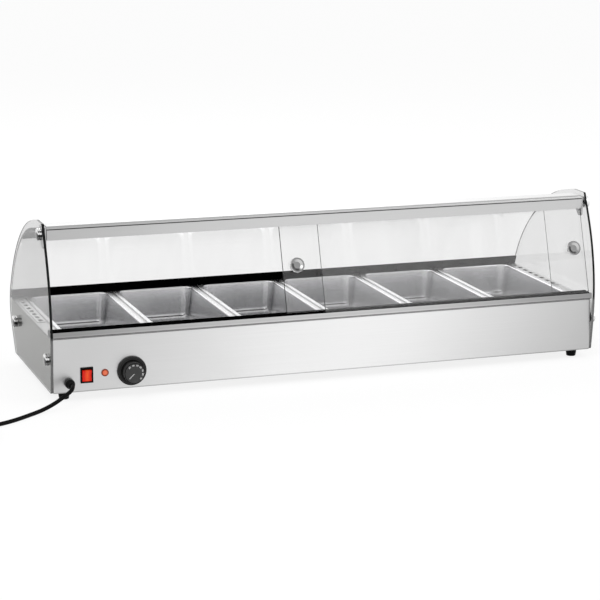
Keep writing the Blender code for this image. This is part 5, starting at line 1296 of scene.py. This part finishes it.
class DISPLAYCASE_OT_controls(Operator):
    """Make the lit switch, the pilot lamp and the thermostat knob with its dial"""
    bl_idname = "display_case.controls"
    bl_label = "Controls"

    def execute(self, context):
        controls = context.scene.display_case_controls
        look = context.scene.display_case_finish
        self.switch(controls, look)
        self.lamp(controls, look)
        self.thermostat(controls)
        return {"FINISHED"}

    def switch(self, controls, look):
        """A black frame round a lit rocker."""
        centre = SWITCH_PLACE
        low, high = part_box("switch_housing")
        size, bezel = high - low, controls.bezel
        flange, rim, body, well = 0.0015, 0.003, 0.024, 0.015
        deselect()
        bpy.ops.mesh.primitive_cube_add(size=1.0, location=centre + Vector((0, -FIT - bezel / 2, 0)))
        housing = bpy.context.object
        housing.name = "switch_frame"
        bpy.ops.object.mode_set(mode="EDIT")
        bpy.ops.transform.resize(value=(size.x, bezel, size.z))
        pick(housing, lambda face: face.normal.y > 0.9, "faces")
        bpy.ops.mesh.inset(thickness=flange)
        bpy.ops.mesh.extrude_region_move(TRANSFORM_OT_translate={"value": (0, body, 0)})
        pick(housing, lambda face: face.normal.y < -0.9, "faces")
        bpy.ops.mesh.inset(thickness=rim)
        bpy.ops.mesh.extrude_region_move(TRANSFORM_OT_translate={"value": (0, well, 0)})
        outward()
        complete(housing, "black plastic", bevel=0.0005, segments=3)
        hand_over(housing, "case", "black_plastic", "switch_housing")
        tilt, half_width, cheek, drum = radians(7), 0.0090, 0.0045, 0.0075
        pivot = centre + Vector((0, 0.006, 0))
        crest, reach = -0.0105, 0.0120 - 0.0105 * sin(tilt)
        hollow = reach * sin(tilt)
        back = [(drum * cos(turn), drum * sin(turn)) for turn in np.linspace(pi / 2, -pi / 2, 13)]
        outline = [(crest + 2 * hollow, 0), (crest, reach), (crest + hollow + cheek, reach), *back,
                   (crest + hollow + cheek, -reach), (crest, -reach)]
        leaned = Matrix.Rotation(tilt, 3, "X")
        points = [pivot + Vector((-half_width, 0, 0)) + leaned @ Vector((0, y, z)) for y, z in outline]
        rocker = prism("lit_rocker", points, Vector((2 * half_width, 0, 0)))
        glowing("lit red", look.rocker, tuple(centre + Vector((0.0005, -0.003, 0.0005))),
                (0.90, 0.16, 0.03), 0.0062, 0.50, (1.0, 0.3, 0.22))
        complete(rocker, "lit red", bevel=0.0006, segments=3)
        hand_over(rocker, "switch_rocker", "red_rocker", "switch_rocker")

    def lamp(self, controls, look):
        """A domed lens in a thin ring."""
        centre = LAMP_PLACE
        radius = controls.lamp_radius
        bore = radius - 0.0018
        ring = lathe("pilot_lamp_ring", rounded([
            (0, FIT, 0), (bore, FIT, 0), (bore, 0.0023, 0.0003), (radius, 0.0023, 0.0010), (radius, FIT, 0),
            (0.0058, FIT, 0), (0.0058, -0.020, 0.001), (0, -0.020, 0)], closed=False), centre, (0, -1, 0), 48)
        complete(ring, "lamp ring")
        hand_over(ring, "case", "red_lens", "lamp_housing")
        lens_radius = bore - FIT
        dome = [(lens_radius * sin(turn), 0.002 + 0.002 * cos(turn)) for turn in np.linspace(0, pi / 2, 9)]
        lens = lathe("pilot_lamp_lens", [*dome, (lens_radius, 2 * FIT), (0, 2 * FIT)], centre, (0, -1, 0), 48)
        glowing("lit amber", look.lens, tuple(centre + Vector((0, -0.004, 0))), (0.80, 0.26, 0.14),
                0.006, 0.45)
        complete(lens, "lit amber")
        hand_over(lens, "case", "red_lens", "lamp_lens")

    def thermostat(self, controls):
        """A skirted knob whose face carries the temperature scale and a pointer line."""
        centre = DIAL_PLACE
        skirt, hub, face = controls.skirt_radius, controls.hub_radius, controls.face_radius
        knob = lathe("dial_knob", rounded([
            (0, 0.0246, 0), (face - 0.0016, 0.0246, 0.0003), (face - 0.0012, 0.025, 0.0002),
            (face, 0.025, 0.0008), (hub, 0.0052, 0.0012), (hub + 0.0012, 0.0040, 0.0003),
            (hub + 0.0020, 0.0044, 0.0003), (skirt - 0.0030, 0.0044, 0.0004), (skirt, 0.0030, 0.0010),
            (skirt, 0, 0.0003), (0.0033, 0, 0), (0.0033, 0.015, 0), (0, 0.015, 0)], closed=False),
            centre, (0, -1, 0), 96)
        complete(knob, "knob plastic", "knob skirt", "dial")
        for plate in knob.data.polygons:
            spot = plate.center - centre
            reach = sqrt(spot.x ** 2 + spot.z ** 2)
            on_skirt = reach > hub + 0.0004 and spot.y < -0.001
            on_face = reach < face - 0.0014 and spot.y < -0.020
            plate.material_index = 1 if on_skirt else 2 if on_face else 0
        ring, plane, raised = 0.0158, 0.0246, 0.00008
        marks = []
        for value, clock in zip(range(30, 100, 10), (-41, -11, 18, 45, 72, 101, 132)):
            turn = radians(clock)
            spot = centre + Vector((sin(turn) * ring, -plane, cos(turn) * ring))
            bpy.ops.object.text_add(location=spot)
            text = bpy.context.object
            text.data.body = str(value)
            text.data.size = controls.numeral
            text.data.align_x = text.data.align_y = "CENTER"
            text.data.extrude = raised
            text.rotation_euler = (Matrix.Rotation(turn, 3, "Y") @ Matrix.Rotation(pi / 2, 3, "X")).to_euler()
            bpy.ops.object.convert(target="MESH")
            bpy.ops.object.mode_set(mode="EDIT")
            outward(merge=0.000004)
            bpy.ops.object.mode_set(mode="OBJECT")
            marks.append(bpy.context.object)
        turn = radians(227)
        across = Vector((cos(turn), 0, -sin(turn)))
        away = Vector((sin(turn), 0, cos(turn)))
        near, far, half_line, sunk, thick = 0.0015, 0.0150, 0.00045, 0.00005, 0.00015
        foot = centre + Vector((0, sunk - plane, 0))
        pointer = [foot + away * reach + across * side for reach, side in
                   ((near, -half_line), (far, -half_line), (far, half_line), (near, half_line))]
        marks.append(prism("dial_pointer", pointer, Vector((0, -thick, 0))))
        for mark in marks:
            settle(mark)
        scale = complete(joined(marks[-1], marks[:-1]), "dial mark")
        scale.name = "dial_scale"
        hand_over(scale, "thermostat_knob", "white_ceramic")
        hand_over(knob, "thermostat_knob", "black_plastic", "thermostat_knob")


class DISPLAYCASE_PT_pieces(Panel):
    """The case's settings and the operators that make it"""
    bl_idname = "DISPLAYCASE_PT_pieces"
    bl_label = "Display case"
    bl_space_type = "VIEW_3D"
    bl_region_type = "UI"
    bl_category = "Display case"

    def draw(self, context):
        layout = self.layout
        for name, group in SETTINGS.items():
            box = layout.box()
            box.label(text=name)
            settings = getattr(context.scene, f"display_case_{name}")
            for item in group.__annotations__:
                box.prop(settings, item)
        for operator in OPERATORS:
            layout.operator(operator.bl_idname)


SETTINGS = {
    "stage": DISPLAYCASE_PG_stage,
    "finish": DISPLAYCASE_PG_finish,
    "glazing": DISPLAYCASE_PG_glazing,
    "pans": DISPLAYCASE_PG_pans,
    "controls": DISPLAYCASE_PG_controls,
    "cord": DISPLAYCASE_PG_cord,
}
OPERATORS = (
    DISPLAYCASE_OT_stage,
    DISPLAYCASE_OT_cord,
    DISPLAYCASE_OT_housing,
    DISPLAYCASE_OT_glazing,
    DISPLAYCASE_OT_rail,
    DISPLAYCASE_OT_doors,
    DISPLAYCASE_OT_pans,
    DISPLAYCASE_OT_controls,
)


def register():
    for group in SETTINGS.values():
        bpy.utils.register_class(group)
    for name, group in SETTINGS.items():
        setattr(bpy.types.Scene, f"display_case_{name}", PointerProperty(type=group))
    for operator in OPERATORS:
        bpy.utils.register_class(operator)
    bpy.utils.register_class(DISPLAYCASE_PT_pieces)


def unregister():
    bpy.utils.unregister_class(DISPLAYCASE_PT_pieces)
    for operator in reversed(OPERATORS):
        bpy.utils.unregister_class(operator)
    for name, group in reversed(SETTINGS.items()):
        delattr(bpy.types.Scene, f"display_case_{name}")
        bpy.utils.unregister_class(group)


def main():
    register()
    make_finishes(bpy.context.scene.display_case_finish)
    bpy.ops.display_case.stage()
    bpy.ops.display_case.cord()
    bpy.ops.display_case.housing()
    bpy.ops.display_case.glazing()
    bpy.ops.display_case.rail()
    bpy.ops.display_case.doors()
    bpy.ops.display_case.pans()
    bpy.ops.display_case.controls()


if __name__ == "__main__":
    main()
